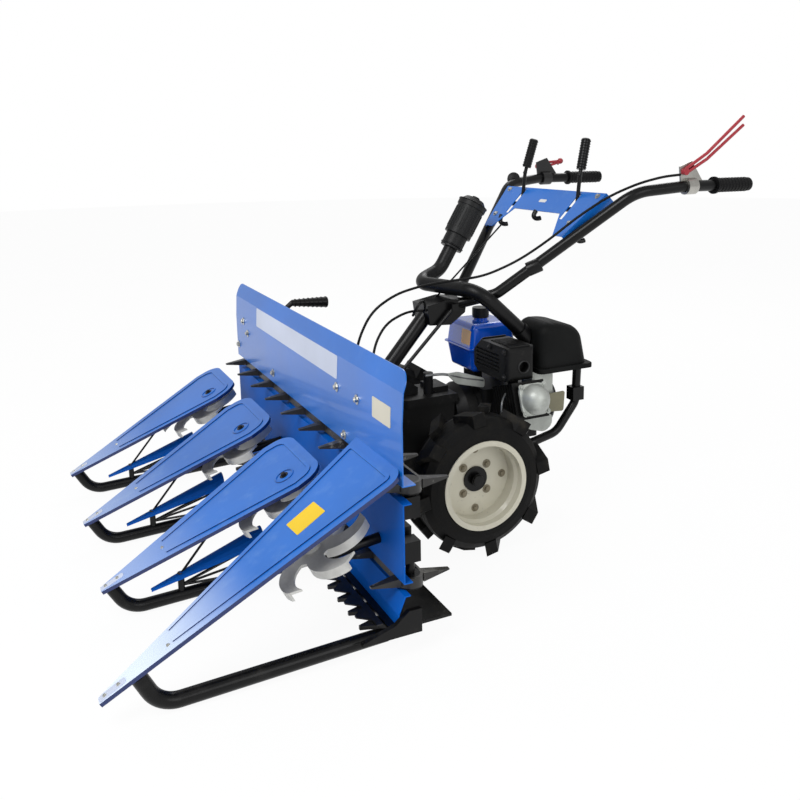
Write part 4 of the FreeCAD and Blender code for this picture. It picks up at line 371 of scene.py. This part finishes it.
nodeFinish = {
    "blue": ["upper_backboard", "console_panel"],
    "cover": ["divider_cover_1", "divider_cover_2", "divider_cover_3", "divider_cover_4"],
    "deep": ["lower_backboard", "bottom_strip", "lower_dividers"],
    "tank": ["fuel_tank"],
    "black": ["header_frame", "end_shoes", "skids", "star_brackets", "divider_rods", "handle_column",
              "handle_seat", "handle_tubes", "header_lever", "rear_guard", "belt_pulleys", "hub_left",
              "hub_right", "shift_levers"],
    "dark": ["cutter_guards"],
    "knife": ["knife"],
    "cast": ["gearbox", "gearbox_cover", "header_coupling", "engine_block", "muffler", "clutch_housing"],
    "alloy": ["rocker_cover", "carburettor"],
    "star": ["star_wheel_1", "star_wheel_2", "star_wheel_3", "star_wheel_4"],
    "lug": ["upper_lug_belt", "lower_lug_belt"],
    "shell": ["air_cleaner"],
    "plastic": ["fuel_cap", "recoil_cover", "pre_cleaner"],
    "hose": ["intake_hose"],
    "grip": ["hand_grips", "control_cables", "shift_peg"],
    "tyre": ["tyre_left", "tyre_right"],
    "rim": ["rim_left", "rim_right"],
    "clamp": ["clutch_brackets"],
    "red": ["clutch_levers"],
}


def dress(nodeFinish):
    for key, names in nodeFinish.items():
        for name in names:
            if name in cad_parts:
                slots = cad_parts[name].data.materials
                slots.clear()
                slots.append(finishes[key])


# making pieces

slotOf = {  # the slot of each finish on the trim; blank plates and labels have none
    "cover": "blue_paint", "black": "black_paint", "cast": "cast_grey", "dark": "cast_grey",
    "olive": "cast_grey", "alloy": "engine_alloy", "pale": "engine_alloy", "plastic": "black_plastic",
    "shell": "black_plastic", "grip": "black_rubber", "zinc": "bright_steel", "steel": "bright_steel",
    "stud": "rim_white", "red": "red_paint",
}


def finishPiece(name, mesh, key, body="machine", smooth=30):  # smooth up to this angle
    bmesh.ops.remove_doubles(mesh, verts=mesh.verts, dist=0.00001)
    data = bpy.data.meshes.new(name)
    mesh.to_mesh(data)
    mesh.free()
    data.shade_smooth()
    data.set_sharp_from_angle(angle=math.radians(smooth))
    data.materials.append(finishes[key])
    piece = bpy.data.objects.new(name, data)
    bpy.context.scene.collection.objects.link(piece)
    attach(piece, body)
    key in slotOf
    return piece


upright = Matrix.Rotation(math.pi / 2, 4, "X")  # turns a flat piece to face the front


def standing(spot, heading, turn=0.0):  # a frame whose z looks along heading
    lean = Vector((0, 0, 1)).rotation_difference(Vector(heading).normalized()).to_matrix().to_4x4()
    return Matrix.Translation(spot) @ lean @ Matrix.Rotation(turn, 4, "Z")


def headingOf(here):
    return here.to_3x3() @ Vector((0, 0, 1))


def lifted(here, high):  # the same frame, moved up its own z
    return here @ Matrix.Translation((0, 0, high))


def softenEdges(mesh, edges, offset, steps=2):
    return bmesh.ops.bevel(mesh, geom=edges, offset=offset, affect="EDGES", segments=steps,
                           profile=0.5, material=-1)


def edgesOf(made):  # each edge once, in a fixed order
    return list(dict.fromkeys(edge for vert in made["verts"] for edge in vert.link_edges))


def addDisc(mesh, here, radius, depth, segments=24, top=None, bevel=0.0):  # metres, standing on z = 0
    made = bmesh.ops.create_cone(mesh, cap_ends=True, segments=segments, radius1=radius,
                                 radius2=radius if top is None else top, depth=depth,
                                 matrix=lifted(here, depth / 2))
    if bevel:
        peak, axis = here @ Vector((0, 0, depth)), headingOf(here)
        rims = [edge for edge in edgesOf(made)
                if all(abs((vert.co - peak).dot(axis)) < depth * 0.01 for vert in edge.verts)]
        softenEdges(mesh, rims, bevel)


def addBolt(mesh, spot, heading, across, turn=0.3):  # across its flats in millimetres
    size = across / 1000
    here = standing(spot, heading, turn)
    washer = size * 0.14
    addDisc(mesh, here, size * 0.98, washer, 20)
    here = lifted(here, washer)
    addDisc(mesh, here, size * 0.577, size * 0.52, 6, None, size * 0.07)
    addDisc(mesh, lifted(here, size * 0.5), size * 0.3, size * 0.12, 12, size * 0.22)


def boltSet(name, key, spots, body="machine"):
    mesh = bmesh.new()
    for spot, heading, across in spots:
        addBolt(mesh, spot, heading, across, turn=spot.x * 40 + spot.z * 17)
    return finishPiece(name, mesh, key, body)


def addPlate(mesh, here, width, length, thick, corner, soft=0.0):  # millimetres, lying on z = 0
    deep = thick / 1000
    size = Matrix.Diagonal((width / 1000, length / 1000, deep, 1))
    made = bmesh.ops.create_cube(mesh, size=1, matrix=lifted(here, deep / 2) @ size)
    up = headingOf(here).normalized()
    posts = [edge for edge in edgesOf(made)
             if abs((edge.verts[0].co - edge.verts[1].co).normalized().dot(up)) > 0.99]
    made = softenEdges(mesh, posts, corner / 1000, 5)
    if soft:
        crown = here.translation.dot(up) + deep
        edges = dict.fromkeys(edge for face in made["faces"] for edge in face.edges)
        top = [edge for edge in edges
               if all(abs(vert.co.dot(up) - crown) < deep * 0.02 for vert in edge.verts)]
        softenEdges(mesh, top, soft / 1000)


def addRing(mesh, here, radius, wire, around=40, sides=8):  # millimetres, lying round the frame's z
    section = here @ Matrix.Translation((radius / 1000, 0, 0)) @ upright
    made = bmesh.ops.create_circle(mesh, cap_ends=False, segments=sides, radius=wire / 1000, matrix=section)
    geom = list(made["verts"]) + edgesOf(made)
    bmesh.ops.spin(mesh, geom=geom, cent=here.translation, axis=headingOf(here), angle=math.tau,
                   steps=around, use_merge=True)


def growAcross(mesh, corners, thick, corner=0.0):  # a flat outline grown along x, millimetres
    mesh.faces.new([mesh.verts.new(at(*spot)) for spot in corners])
    if corner:
        bmesh.ops.bevel(mesh, geom=list(mesh.verts), offset=corner / 1000, affect="VERTICES", segments=4,
                        profile=0.5, material=-1)
    grown = bmesh.ops.extrude_face_region(mesh, geom=list(mesh.faces))
    moved = [item for item in grown["geom"] if isinstance(item, bmesh.types.BMVert)]
    bmesh.ops.translate(mesh, verts=moved, vec=(thick / 1000, 0, 0))
    bmesh.ops.recalc_face_normals(mesh, faces=mesh.faces)


def bentRod(name, key, places, radius, round=True):  # millimetres
    line = bpy.data.curves.new(name + "Line", "CURVE")
    line.dimensions = "3D"
    line.bevel_depth = radius / 1000
    line.bevel_resolution = 4
    line.resolution_u = 8
    line.use_fill_caps = True
    spline = line.splines.new("NURBS" if round else "POLY")
    spline.points.add(len(places) - 1)
    for point, place in zip(spline.points, places):
        point.co = (*at(*place), 1)
    if round:
        spline.order_u = 3
        spline.use_endpoint_u = True
    holder = bpy.data.objects.new(name + "Holder", line)
    data = bpy.data.meshes.new_from_object(holder)
    mesh = bmesh.new()
    mesh.from_mesh(data)
    bpy.data.objects.remove(holder)
    bmesh.ops.recalc_face_normals(mesh, faces=mesh.faces)
    return finishPiece(name, mesh, key)


# stage

def groundFinish(studio):
    finish = Finish("paleGround", Roughness=0.9, Specular_IOR_Level=0.1)
    tint = finish.blend(finish.noise(2.5, 3).above(0.3, 0.7), tone(236, 237, 238), tone(240, 240, 240))
    finish.show(Base_Color=tint)
    rays = finish.tree.nodes.new("ShaderNodeLightPath")
    seen = Wire(finish, rays.outputs["Is Camera Ray"])
    seen = seen.largest(Wire(finish, rays.outputs["Is Glossy Ray"]))
    seen = seen.largest(Wire(finish, rays.outputs["Is Transmission Ray"]))
    glow = finish.add("ShaderNodeEmission", {}, {"Color": (1, 1, 1, 1), "Strength": 1.0}, "Emission")
    out = finish.tree.nodes["Material Output"]
    mixed = finish.tree.nodes.new("ShaderNodeMixShader")
    finish.tree.links.new((seen * studio["floorGlow"]).socket, mixed.inputs[0])
    finish.tree.links.new(finish.shader.outputs[0], mixed.inputs[1])
    finish.tree.links.new(glow.socket, mixed.inputs[2])
    finish.tree.links.new(mixed.outputs[0], out.inputs[0])
    return finish.material


def buildStage(studio):
    mesh = bmesh.new()
    bmesh.ops.create_circle(mesh, cap_ends=True, segments=96, radius=studio["floorRadius"])
    data = bpy.data.meshes.new("ground")
    mesh.to_mesh(data)
    mesh.free()
    data.materials.append(groundFinish(studio))
    ground = bpy.data.objects.new("ground", data)
    bpy.context.scene.collection.objects.link(ground)
    world = bpy.data.worlds.new("softRoom")
    bpy.context.scene.world = world
    world.use_nodes = True
    tree = world.node_tree
    rays = tree.nodes.new("ShaderNodeLightPath")
    room = tree.nodes["Background"]
    room.inputs["Color"].default_value = (1, 1, 1, 1)
    room.inputs["Strength"].default_value = studio["sky"]
    white = tree.nodes.new("ShaderNodeBackground")
    white.inputs["Color"].default_value = (1, 1, 1, 1)
    white.inputs["Strength"].default_value = 1.0
    mixed = tree.nodes.new("ShaderNodeMixShader")
    tree.links.new(rays.outputs["Is Camera Ray"], mixed.inputs[0])
    tree.links.new(room.outputs[0], mixed.inputs[1])
    tree.links.new(white.outputs[0], mixed.inputs[2])
    tree.links.new(mixed.outputs[0], tree.nodes["World Output"].inputs[0])
    middle = at(*studio["aim"])
    for name in ("key", "side", "back"):
        lampAt(name + "Lamp", studio[name], middle)
    bpy.context.scene.view_settings.view_transform = "Standard"


# the covers' fittings, in millimetres as every piece's sizes are

coverShape = {
    "short": {"nose": (-941, 78), "slope": 26.7, "middles": (-600, -200, 200), "rivet": -798},
    "long": {"nose": (-991, 60), "slope": 30.2, "middles": (600,), "rivet": -858},
    "dimple": {"aside": 57, "y": -511, "radius": 23, "floor": 14, "deep": 2.4, "sunk": 1, "wire": 2.6,
               "bolt": 11, "boltUp": 1.3},
    "rivet": {"radius": 4.5, "crown": 2.6, "high": 3},
    "tipPlate": {"width": 19, "length": 58, "start": 26, "thick": 1.6, "corner": 6, "soft": 0.5,
                 "rivets": (-16, 14)},
    "label": {"spot": (549, -556), "width": 62, "length": 74, "turn": 4, "thick": 0.7, "corner": 3},
}


def onCover(kind, x, y):  # a frame on a cover's face, its y up the slope
    place = coverShape[kind]
    noseY, noseZ = place["nose"]
    lean = math.radians(place["slope"])
    spot = at(x, y, noseZ + (y - noseY) * math.tan(lean))
    return Matrix.Translation(spot) @ Matrix.Rotation(lean, 4, "X")


def addRivet(mesh, here, rivet):
    addDisc(mesh, here, rivet["radius"] / 1000, rivet["high"] / 1000, 16, rivet["crown"] / 1000)


def coverFittings(shape):
    seats, bolts, rivets, tips = bmesh.new(), bmesh.new(), bmesh.new(), bmesh.new()
    dimple, tip = shape["dimple"], shape["tipPlate"]
    for kind in ("short", "long"):
        cover = shape[kind]
        for middle in cover["middles"]:
            if kind == "short":
                here = onCover(kind, middle + dimple["aside"], dimple["y"])
                addRing(seats, here, dimple["radius"], dimple["wire"])
                addDisc(seats, lifted(here, -dimple["sunk"] / 1000), dimple["radius"] / 1000,
                        dimple["deep"] / 1000, 40, dimple["floor"] / 1000)
                seat = lifted(here, dimple["boltUp"] / 1000).translation
                addBolt(bolts, seat, headingOf(here), dimple["bolt"])
            addRivet(rivets, onCover(kind, middle, cover["rivet"]), shape["rivet"])
            here = onCover(kind, middle, cover["nose"][0] + tip["start"])
            addPlate(tips, here, tip["width"], tip["length"], tip["thick"], tip["corner"], tip["soft"])
            for along in tip["rivets"]:
                spot = here @ Matrix.Translation((0, along / 1000, tip["thick"] / 1000))
                addRivet(rivets, spot, shape["rivet"])
    finishPiece("dimple_seats", seats, "cover")
    finishPiece("dimple_bolts", bolts, "dark")
    finishPiece("cover_rivets", rivets, "zinc")
    finishPiece("cover_tip_plates", tips, "frost")
    label = shape["label"]
    mesh = bmesh.new()
    here = onCover("long", *label["spot"]) @ Matrix.Rotation(math.radians(label["turn"]), 4, "Z")
    addPlate(mesh, here, label["width"], label["length"], label["thick"], label["corner"])
    finishPiece("blank_cover_label", mesh, "yellow")


coverFittings(coverShape)
print("cover fittings made")


# the header board's fittings

boardShape = {
    "face": -380,
    "plates": (
        {"name": "blank_board_plate", "finish": "frost", "x": (-407, 287), "y": -377.8, "z": (524, 581),
         "lean": 3.47, "thick": 0.7, "corner": 5},
        {"name": "blank_small_plate", "finish": "beige", "x": (502, 598), "y": -379.2, "z": (494, 540),
         "lean": 1.9, "thick": 1.4, "corner": 4},
    ),
    "bolts": ((285, 505), (414, 508), (327, 398), (-561, 512), (-515, 480), (-633, 421), (-246, 413)),
    "across": 12,
}


def boardFittings(shape):
    for plate in shape["plates"]:
        (x0, x1), (z0, z1) = plate["x"], plate["z"]
        middle = at((x0 + x1) / 2, plate["y"], (z0 + z1) / 2)
        here = Matrix.Translation(middle) @ Matrix.Rotation(math.radians(-plate["lean"]), 4, "X") @ upright
        mesh = bmesh.new()
        addPlate(mesh, here, x1 - x0, z1 - z0, plate["thick"], plate["corner"])
        finishPiece(plate["name"], mesh, plate["finish"])
    spots = [(at(x, shape["face"], z), (0, -1, 0), shape["across"]) for x, z in shape["bolts"]]
    boltSet("board_bolts", "zinc", spots)


boardFittings(boardShape)
print("board fittings made")


# the engine's fittings

cleanerShape = {
    "x": (50, 200),
    "profile": ((260, 440), (430, 440), (408, 544), (330, 573), (268, 568)),
    "round": 33,
    "lip": {"x": (43, 207), "y": (255, 440), "z": (430, 444), "corner": 16, "soft": 3},
}


def airCleaner(shape):
    mesh = bmesh.new()
    low, high = shape["x"]
    growAcross(mesh, [(low, y, z) for y, z in shape["profile"]], high - low)
    foot = shape["profile"][0][1] / 1000
    upper = [edge for edge in mesh.edges if max(vert.co.z for vert in edge.verts) > foot + 0.001]
    softenEdges(mesh, upper, shape["round"] / 1000, 6)
    lip = shape["lip"]
    (x0, x1), (y0, y1), (z0, z1) = lip["x"], lip["y"], lip["z"]
    here = Matrix.Translation(at((x0 + x1) / 2, (y0 + y1) / 2, z0))
    addPlate(mesh, here, x1 - x0, y1 - y0, z1 - z0, lip["corner"], lip["soft"])
    piece = finishPiece("air_cleaner_housing", mesh, "shell", smooth=40)
    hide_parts("air_cleaner")


airCleaner(cleanerShape)

rockerShape = {
    "zero": (0, 212, 292), "tilt": 19, "joint": 252, "flange": 7, "half": 44, "corner": 22, "soft": 2,
    "dome": (46, 41, 43), "sunk": 12, "foot": 5, "bolt": 8, "boltCircle": 37,
}


def rockerCover(shape):  # a dome on a square flange with four bolts
    tilt = Matrix.Translation(at(*shape["zero"])) @ Matrix.Rotation(math.radians(-shape["tilt"]), 4, "Y")
    outward = tilt @ Matrix.Translation((shape["joint"] / 1000, 0, 0)) @ Matrix.Rotation(math.pi / 2, 4, "Y")
    mesh = bmesh.new()
    across = 2 * shape["half"]
    addPlate(mesh, outward, across, across, shape["flange"], shape["corner"], shape["soft"])
    face = lifted(outward, shape["flange"] / 1000)
    deep, wide, high = (value / 1000 for value in shape["dome"])
    ball = bmesh.ops.create_uvsphere(mesh, u_segments=40, v_segments=24, radius=1,
                                     matrix=face @ Matrix.Diagonal((high, wide, deep, 1)))
    heading = headingOf(face)
    hidden = [vert for vert in ball["verts"]
              if (face.translation - vert.co).dot(heading) > shape["sunk"] / 1000]
    bmesh.ops.delete(mesh, geom=hidden, context="VERTS")
    addDisc(mesh, face, wide * 1.03, shape["foot"] / 1000, 48, wide * 0.99)
    circle = shape["boltCircle"] / 1000
    for right in (-1, 1):
        for up in (-1, 1):
            spot = face @ Vector((right * circle, up * circle, 0))
            addBolt(mesh, spot, heading, shape["bolt"])
    piece = finishPiece("rocker_dome", mesh, "alloy", smooth=35)
    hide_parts("rocker_cover")


rockerCover(rockerShape)

mufflerShape = {
    "depth": (142, 232),
    "ribs": {"x": (104, 204), "y": (156, 222), "z": 518.5, "count": 11, "width": 3.4, "high": 3, "corner": 1.5,
             "soft": 0.8},
    "shield": {"low": (38, 486), "high": (72, 519), "out": (-2, 1), "past": 8, "thick": 1.6, "corner": 6,
               "soft": 0.6},
    "outlet": {"spot": (215, 195, 463), "radius": 17, "wire": 2.4},
    "bolts": ((200, 437), (200, 507), (120, 507)),
    "across": 9,
}


def mufflerFittings(shape):
    front, rear = shape["depth"]
    ribs = shape["ribs"]
    (x0, x1), (y0, y1) = ribs["x"], ribs["y"]
    mesh = bmesh.new()
    pitch = (x1 - x0) / (ribs["count"] - 1)
    for index in range(ribs["count"]):
        here = Matrix.Translation(at(x0 + index * pitch, (y0 + y1) / 2, ribs["z"]))
        addPlate(mesh, here, ribs["width"], y1 - y0, ribs["high"], ribs["corner"], ribs["soft"])
    finishPiece("muffler_ribs", mesh, "cast")
    shield = shape["shield"]
    (x0, z0), (x1, z1) = shield["low"], shield["high"]
    outX, outZ = shield["out"]
    middle = at((x0 + x1) / 2 + outX, (front + rear) / 2, (z0 + z1) / 2 + outZ)
    here = Matrix.Translation(middle) @ Matrix.Rotation(-math.atan2(z1 - z0, x1 - x0), 4, "Y")
    run = math.hypot(x1 - x0, z1 - z0) + shield["past"]
    mesh = bmesh.new()
    addPlate(mesh, here, run, rear - front - shield["past"], shield["thick"], shield["corner"], shield["soft"])
    finishPiece("muffler_shield", mesh, "pale")
    outlet = shape["outlet"]
    mesh = bmesh.new()
    addRing(mesh, standing(at(*outlet["spot"]), (1, 0, 0)), outlet["radius"], outlet["wire"])
    finishPiece("outlet_ring", mesh, "dark")
    spots = [(at(x, front, z), (0, -1, 0), shape["across"]) for x, z in shape["bolts"]]
    boltSet("muffler_bolts", "dark", spots)


mufflerFittings(mufflerShape)
print("engine fittings made")

fuelShape = {
    "label": {"x": (-44, 8), "y": 144.1, "z": (486, 530), "lean": 6, "thick": 1.2, "corner": 4},
    "cap": {"spot": (-57.5, 216, 560), "radius": 24, "ribs": 12, "width": 3, "deep": 7, "high": 20,
            "corner": 1.2},
}


def fuelFittings(shape):
    label = shape["label"]
    (x0, x1), (z0, z1) = label["x"], label["z"]
    middle = at((x0 + x1) / 2, label["y"], (z0 + z1) / 2)
    here = Matrix.Translation(middle) @ upright @ Matrix.Rotation(math.radians(-label["lean"]), 4, "X")
    mesh = bmesh.new()
    addPlate(mesh, here, x1 - x0, z1 - z0, label["thick"], label["corner"])
    finishPiece("blank_tank_label", mesh, "amber")
    cap = shape["cap"]
    x, y, z = cap["spot"]
    mesh = bmesh.new()
    for index in range(cap["ribs"]):
        angle = index / cap["ribs"] * math.tau
        spot = at(x + cap["radius"] * math.cos(angle), y + cap["radius"] * math.sin(angle), z)
        here = Matrix.Translation(spot) @ Matrix.Rotation(angle, 4, "Z")
        addPlate(mesh, here, cap["width"], cap["deep"], cap["high"], cap["corner"])
    finishPiece("fuel_cap_ribs", mesh, "plastic")


fuelFittings(fuelShape)

controlShape = {
    "plate": {"corners": ((176, 300, 361), (176, 360, 363), (176, 356, 303), (176, 300, 308)), "thick": 3},
    "arm": ((160, 318, 340), (176, 318, 340)),
    "link": ((58, -30, 430), (70, 10, 434), (74, 44, 426), (74, 84, 412), (76, 146, 398)),
    "cradle": {"corners": ((70, 28, 432), (70, 66, 433), (72, 150, 404), (72, 150, 376), (70, 60, 399)),
               "thick": 7},
    "sump": {"corners": ((150, 222, 300), (150, 240, 262), (150, 300, 244), (150, 326, 262), (150, 326, 296)),
             "thick": 16},
    "throttle": ((206, 142, 392), (226, 120, 384), (232, 112, 360), (232, 114, 338), (228, 128, 322),
                 (214, 142, 316)),
}


def flatPiece(name, key, shape, corner):
    mesh = bmesh.new()
    growAcross(mesh, shape["corners"], shape["thick"], corner)
    finishPiece(name, mesh, key)


def controlFittings(shape):
    flatPiece("control_plate", "olive", shape["plate"], 7)
    bentRod("control_plate_arm", "steel", shape["arm"], 4, round=False)
    bentRod("shift_link", "pale", shape["link"], 4)
    flatPiece("engine_cradle", "alloy", shape["cradle"], 8)
    flatPiece("sump_cover", "alloy", shape["sump"], 12)
    bentRod("throttle_rod", "pale", shape["throttle"], 2.6)


controlFittings(controlShape)

wheelShape = {
    "face": 284,
    "rings": ({"circle": 50, "first": 45, "across": 12}, {"circle": 82, "first": 0, "across": 11}),
    "axleEnd": {"x": 302.2, "radius": 15, "deep": 4, "soft": 1.5},
    "sides": (("left_wheel", 1), ("right_wheel", -1)),
}


def wheelFittings(shape):
    end = shape["axleEnd"]
    axle = wheelHigh * 1000
    for body, side in shape["sides"]:
        spots = []
        for ring in shape["rings"]:
            for index in range(4):
                angle = math.radians(ring["first"]) + index * math.pi / 2
                along, up = ring["circle"] * math.cos(angle), axle + ring["circle"] * math.sin(angle)
                spots.append((at(side * shape["face"], along, up), (side, 0, 0), ring["across"]))
        boltSet(body + "_studs", "stud", spots, body)
        here = standing(at(side * end["x"], 0, axle), (side, 0, 0))
        mesh = bmesh.new()
        addDisc(mesh, here, end["radius"] / 1000, end["deep"] / 1000, 32, None, end["soft"] / 1000)
        finishPiece(body + "_axle_end", mesh, "black", body)


wheelFittings(wheelShape)
print("wheel bolts made")


# the handlebar's fittings

gripShape = {
    "hand": {"start": (346, 620, 946), "end": (340, 856, 944), "radius": 19, "from": 116, "pitch": 12,
             "count": 10},
    "lever": {"low": (142, 425, 976), "top": (132, 451, 1075), "radius": 13, "length": 84, "count": 11,
              "crown": 3, "tip": 9},
    "header": {"low": (-400, -265, 587), "top": (-404, -149, 579), "radii": (11, 17), "count": 8},
    "wire": 1.5,
    "sides": 6,
}


def gripRings(shape):  # on the two hand grips, the two shift levers and the header lever
    mesh = bmesh.new()
    wire, sides = shape["wire"], shape["sides"]
    hand, lever, header = shape["hand"], shape["lever"], shape["header"]
    for side in (1, -1):
        start, end = (at(side * x, y, z) for x, y, z in (hand["start"], hand["end"]))
        heading = (end - start).normalized()
        for index in range(hand["count"]):
            spot = end - heading * (hand["from"] - index * hand["pitch"]) / 1000
            addRing(mesh, standing(spot, heading), hand["radius"], wire, 32, sides)
        low, top = (at(side * x, y, z) for x, y, z in (lever["low"], lever["top"]))
        heading = (top - low).normalized()
        for index in range(lever["count"]):
            spot = top - heading * (lever["length"] * (index + 0.5) / lever["count"]) / 1000
            addRing(mesh, standing(spot, heading), lever["radius"], wire, 28, sides)
        addDisc(mesh, standing(top, heading), lever["radius"] / 1000, lever["crown"] / 1000, 28,
                lever["tip"] / 1000)
    low, top = at(*header["low"]), at(*header["top"])
    thin, wide = header["radii"]
    for index in range(header["count"]):
        share = (index + 0.7) / header["count"]
        here = standing(low.lerp(top, share), top - low)
        addRing(mesh, here, thin + (wide - thin) * share, wire, 28, sides)
    finishPiece("grip_rings", mesh, "grip", smooth=60)


gripRings(gripShape)

consoleShape = {
    "mark": {"spot": (-5, 400, 897), "width": 34, "length": 11, "thick": 0.8, "corner": 3},
    "hooks": {
        "far": ((-160, 352, 848), (-160, 348, 838), (-156, 344, 826), (-148, 352, 818), (-144, 364, 820)),
        "middle": ((-2, 374, 869), (-2, 368, 862), (0, 364, 852), (5, 372, 845), (8, 384, 848)),
        "near": ((214, 368, 826), (216, 362, 816), (220, 360, 806), (224, 370, 799), (226, 382, 803)),
    },
    "hookRadius": 7,
    "bolts": ((-226, 424), (226, 424), (-196, 352), (196, 352)),
    "rise": 497,
    "across": 9,
    "rod": ((-20, 40, 630), (-148, 350, 824)),
    "rodRadius": 2.6,
}


def consoleFittings(shape):
    slope = Vector((0, -1, 1)).normalized()
    mark = shape["mark"]
    mesh = bmesh.new()
    addPlate(mesh, standing(at(*mark["spot"]), slope), mark["width"], mark["length"], mark["thick"],
             mark["corner"])
    finishPiece("blank_console_mark", mesh, "white")
    for name, places in shape["hooks"].items():
        bentRod(name + "_cable_hook", "black", places, shape["hookRadius"])
    spots = [(at(x, y, y + shape["rise"]), slope, shape["across"]) for x, y in shape["bolts"]]
    boltSet("console_bolts", "zinc", spots)
    bentRod("shift_rod", "black", shape["rod"], shape["rodRadius"], round=False)


consoleFittings(consoleShape)

cleanerTop = {
    "foot": (-150, 165, 757), "lean": (0, 85, 140),
    "ribs": {"count": 26, "radius": 42, "from": 60, "length": 66, "width": 2.6, "high": 3, "corner": 1},
    "bands": ({"up": 8, "radius": 34, "wire": 2.6}, {"up": 151, "radius": 45, "wire": 2}),
    "knob": {"up": 166, "radius": 12, "high": 8, "soft": 2},
}


def preCleaner(shape):
    heading = Vector(shape["lean"]).normalized()
    foot = at(*shape["foot"])
    ribs = shape["ribs"]
    here = standing(foot + heading * ribs["from"] / 1000, heading)
    mesh = bmesh.new()
    for index in range(ribs["count"]):
        turn = Matrix.Rotation(index / ribs["count"] * math.tau, 4, "Z")
        spot = here @ turn @ Matrix.Translation((ribs["radius"] / 1000, 0, 0))
        addPlate(mesh, spot, ribs["width"], ribs["high"], ribs["length"], ribs["corner"])
    finishPiece("pre_cleaner_ribs", mesh, "plastic")
    mesh = bmesh.new()
    for band in shape["bands"]:
        spot = foot + heading * band["up"] / 1000
        addRing(mesh, standing(spot, heading), band["radius"], band["wire"], 48, 8)
    knob = shape["knob"]
    spot = foot + heading * knob["up"] / 1000
    addDisc(mesh, standing(spot, heading), knob["radius"] / 1000, knob["high"] / 1000, 24, None,
            knob["soft"] / 1000)
    finishPiece("pre_cleaner_bands", mesh, "black", smooth=60)


preCleaner(cleanerTop)

tubeShape = {
    "cap": {"spot": (-340, 508, 946), "lean": (0.8, -0.45, 0.25), "steps": ((21, 17), (17, 21)), "soft": 3},
    "collar": {"low": (152, 246, 722), "high": (172, 276, 738), "radius": 20, "soft": 3},
    "loop": ((46, -60, 604), (60, -62, 618), (66, -50, 640), (58, -34, 646), (50, -24, 632), (46, -22, 612)),
    "loopRadius": 3.6,
    "ball": {"spot": (-349, 703, 1002), "lean": (0, 0.78, 0.62), "radius": 10},
}


def tubeFittings(shape):
    cap = shape["cap"]
    here = standing(at(*cap["spot"]), cap["lean"])
    mesh = bmesh.new()
    for radius, deep in cap["steps"]:
        addDisc(mesh, here, radius / 1000, deep / 1000, 32, None, cap["soft"] / 1000)
    finishPiece("tube_end_cap", mesh, "plastic")
    collar = shape["collar"]
    low, high = at(*collar["low"]), at(*collar["high"])
    mesh = bmesh.new()
    addDisc(mesh, standing(low, high - low), collar["radius"] / 1000, (high - low).length, 36, None,
            collar["soft"] / 1000)
    finishPiece("tube_collar", mesh, "black")
    bentRod("seat_loop", "black", shape["loop"], shape["loopRadius"])
    ball = shape["ball"]  # a ball with a short neck
    here = standing(at(*ball["spot"]), ball["lean"])
    radius = ball["radius"] / 1000
    mesh = bmesh.new()
    bmesh.ops.create_uvsphere(mesh, u_segments=24, v_segments=16, radius=radius, matrix=here)
    addDisc(mesh, lifted(here, -radius * 1.5), radius * 0.55, radius, 20, radius * 0.45)
    finishPiece("far_lever_ball", mesh, "red")


tubeFittings(tubeShape)
print("handlebar fittings made")

dress(nodeFinish)
print("parts dressed")
placeCamera(view)
buildStage(studio)
print("stage built")
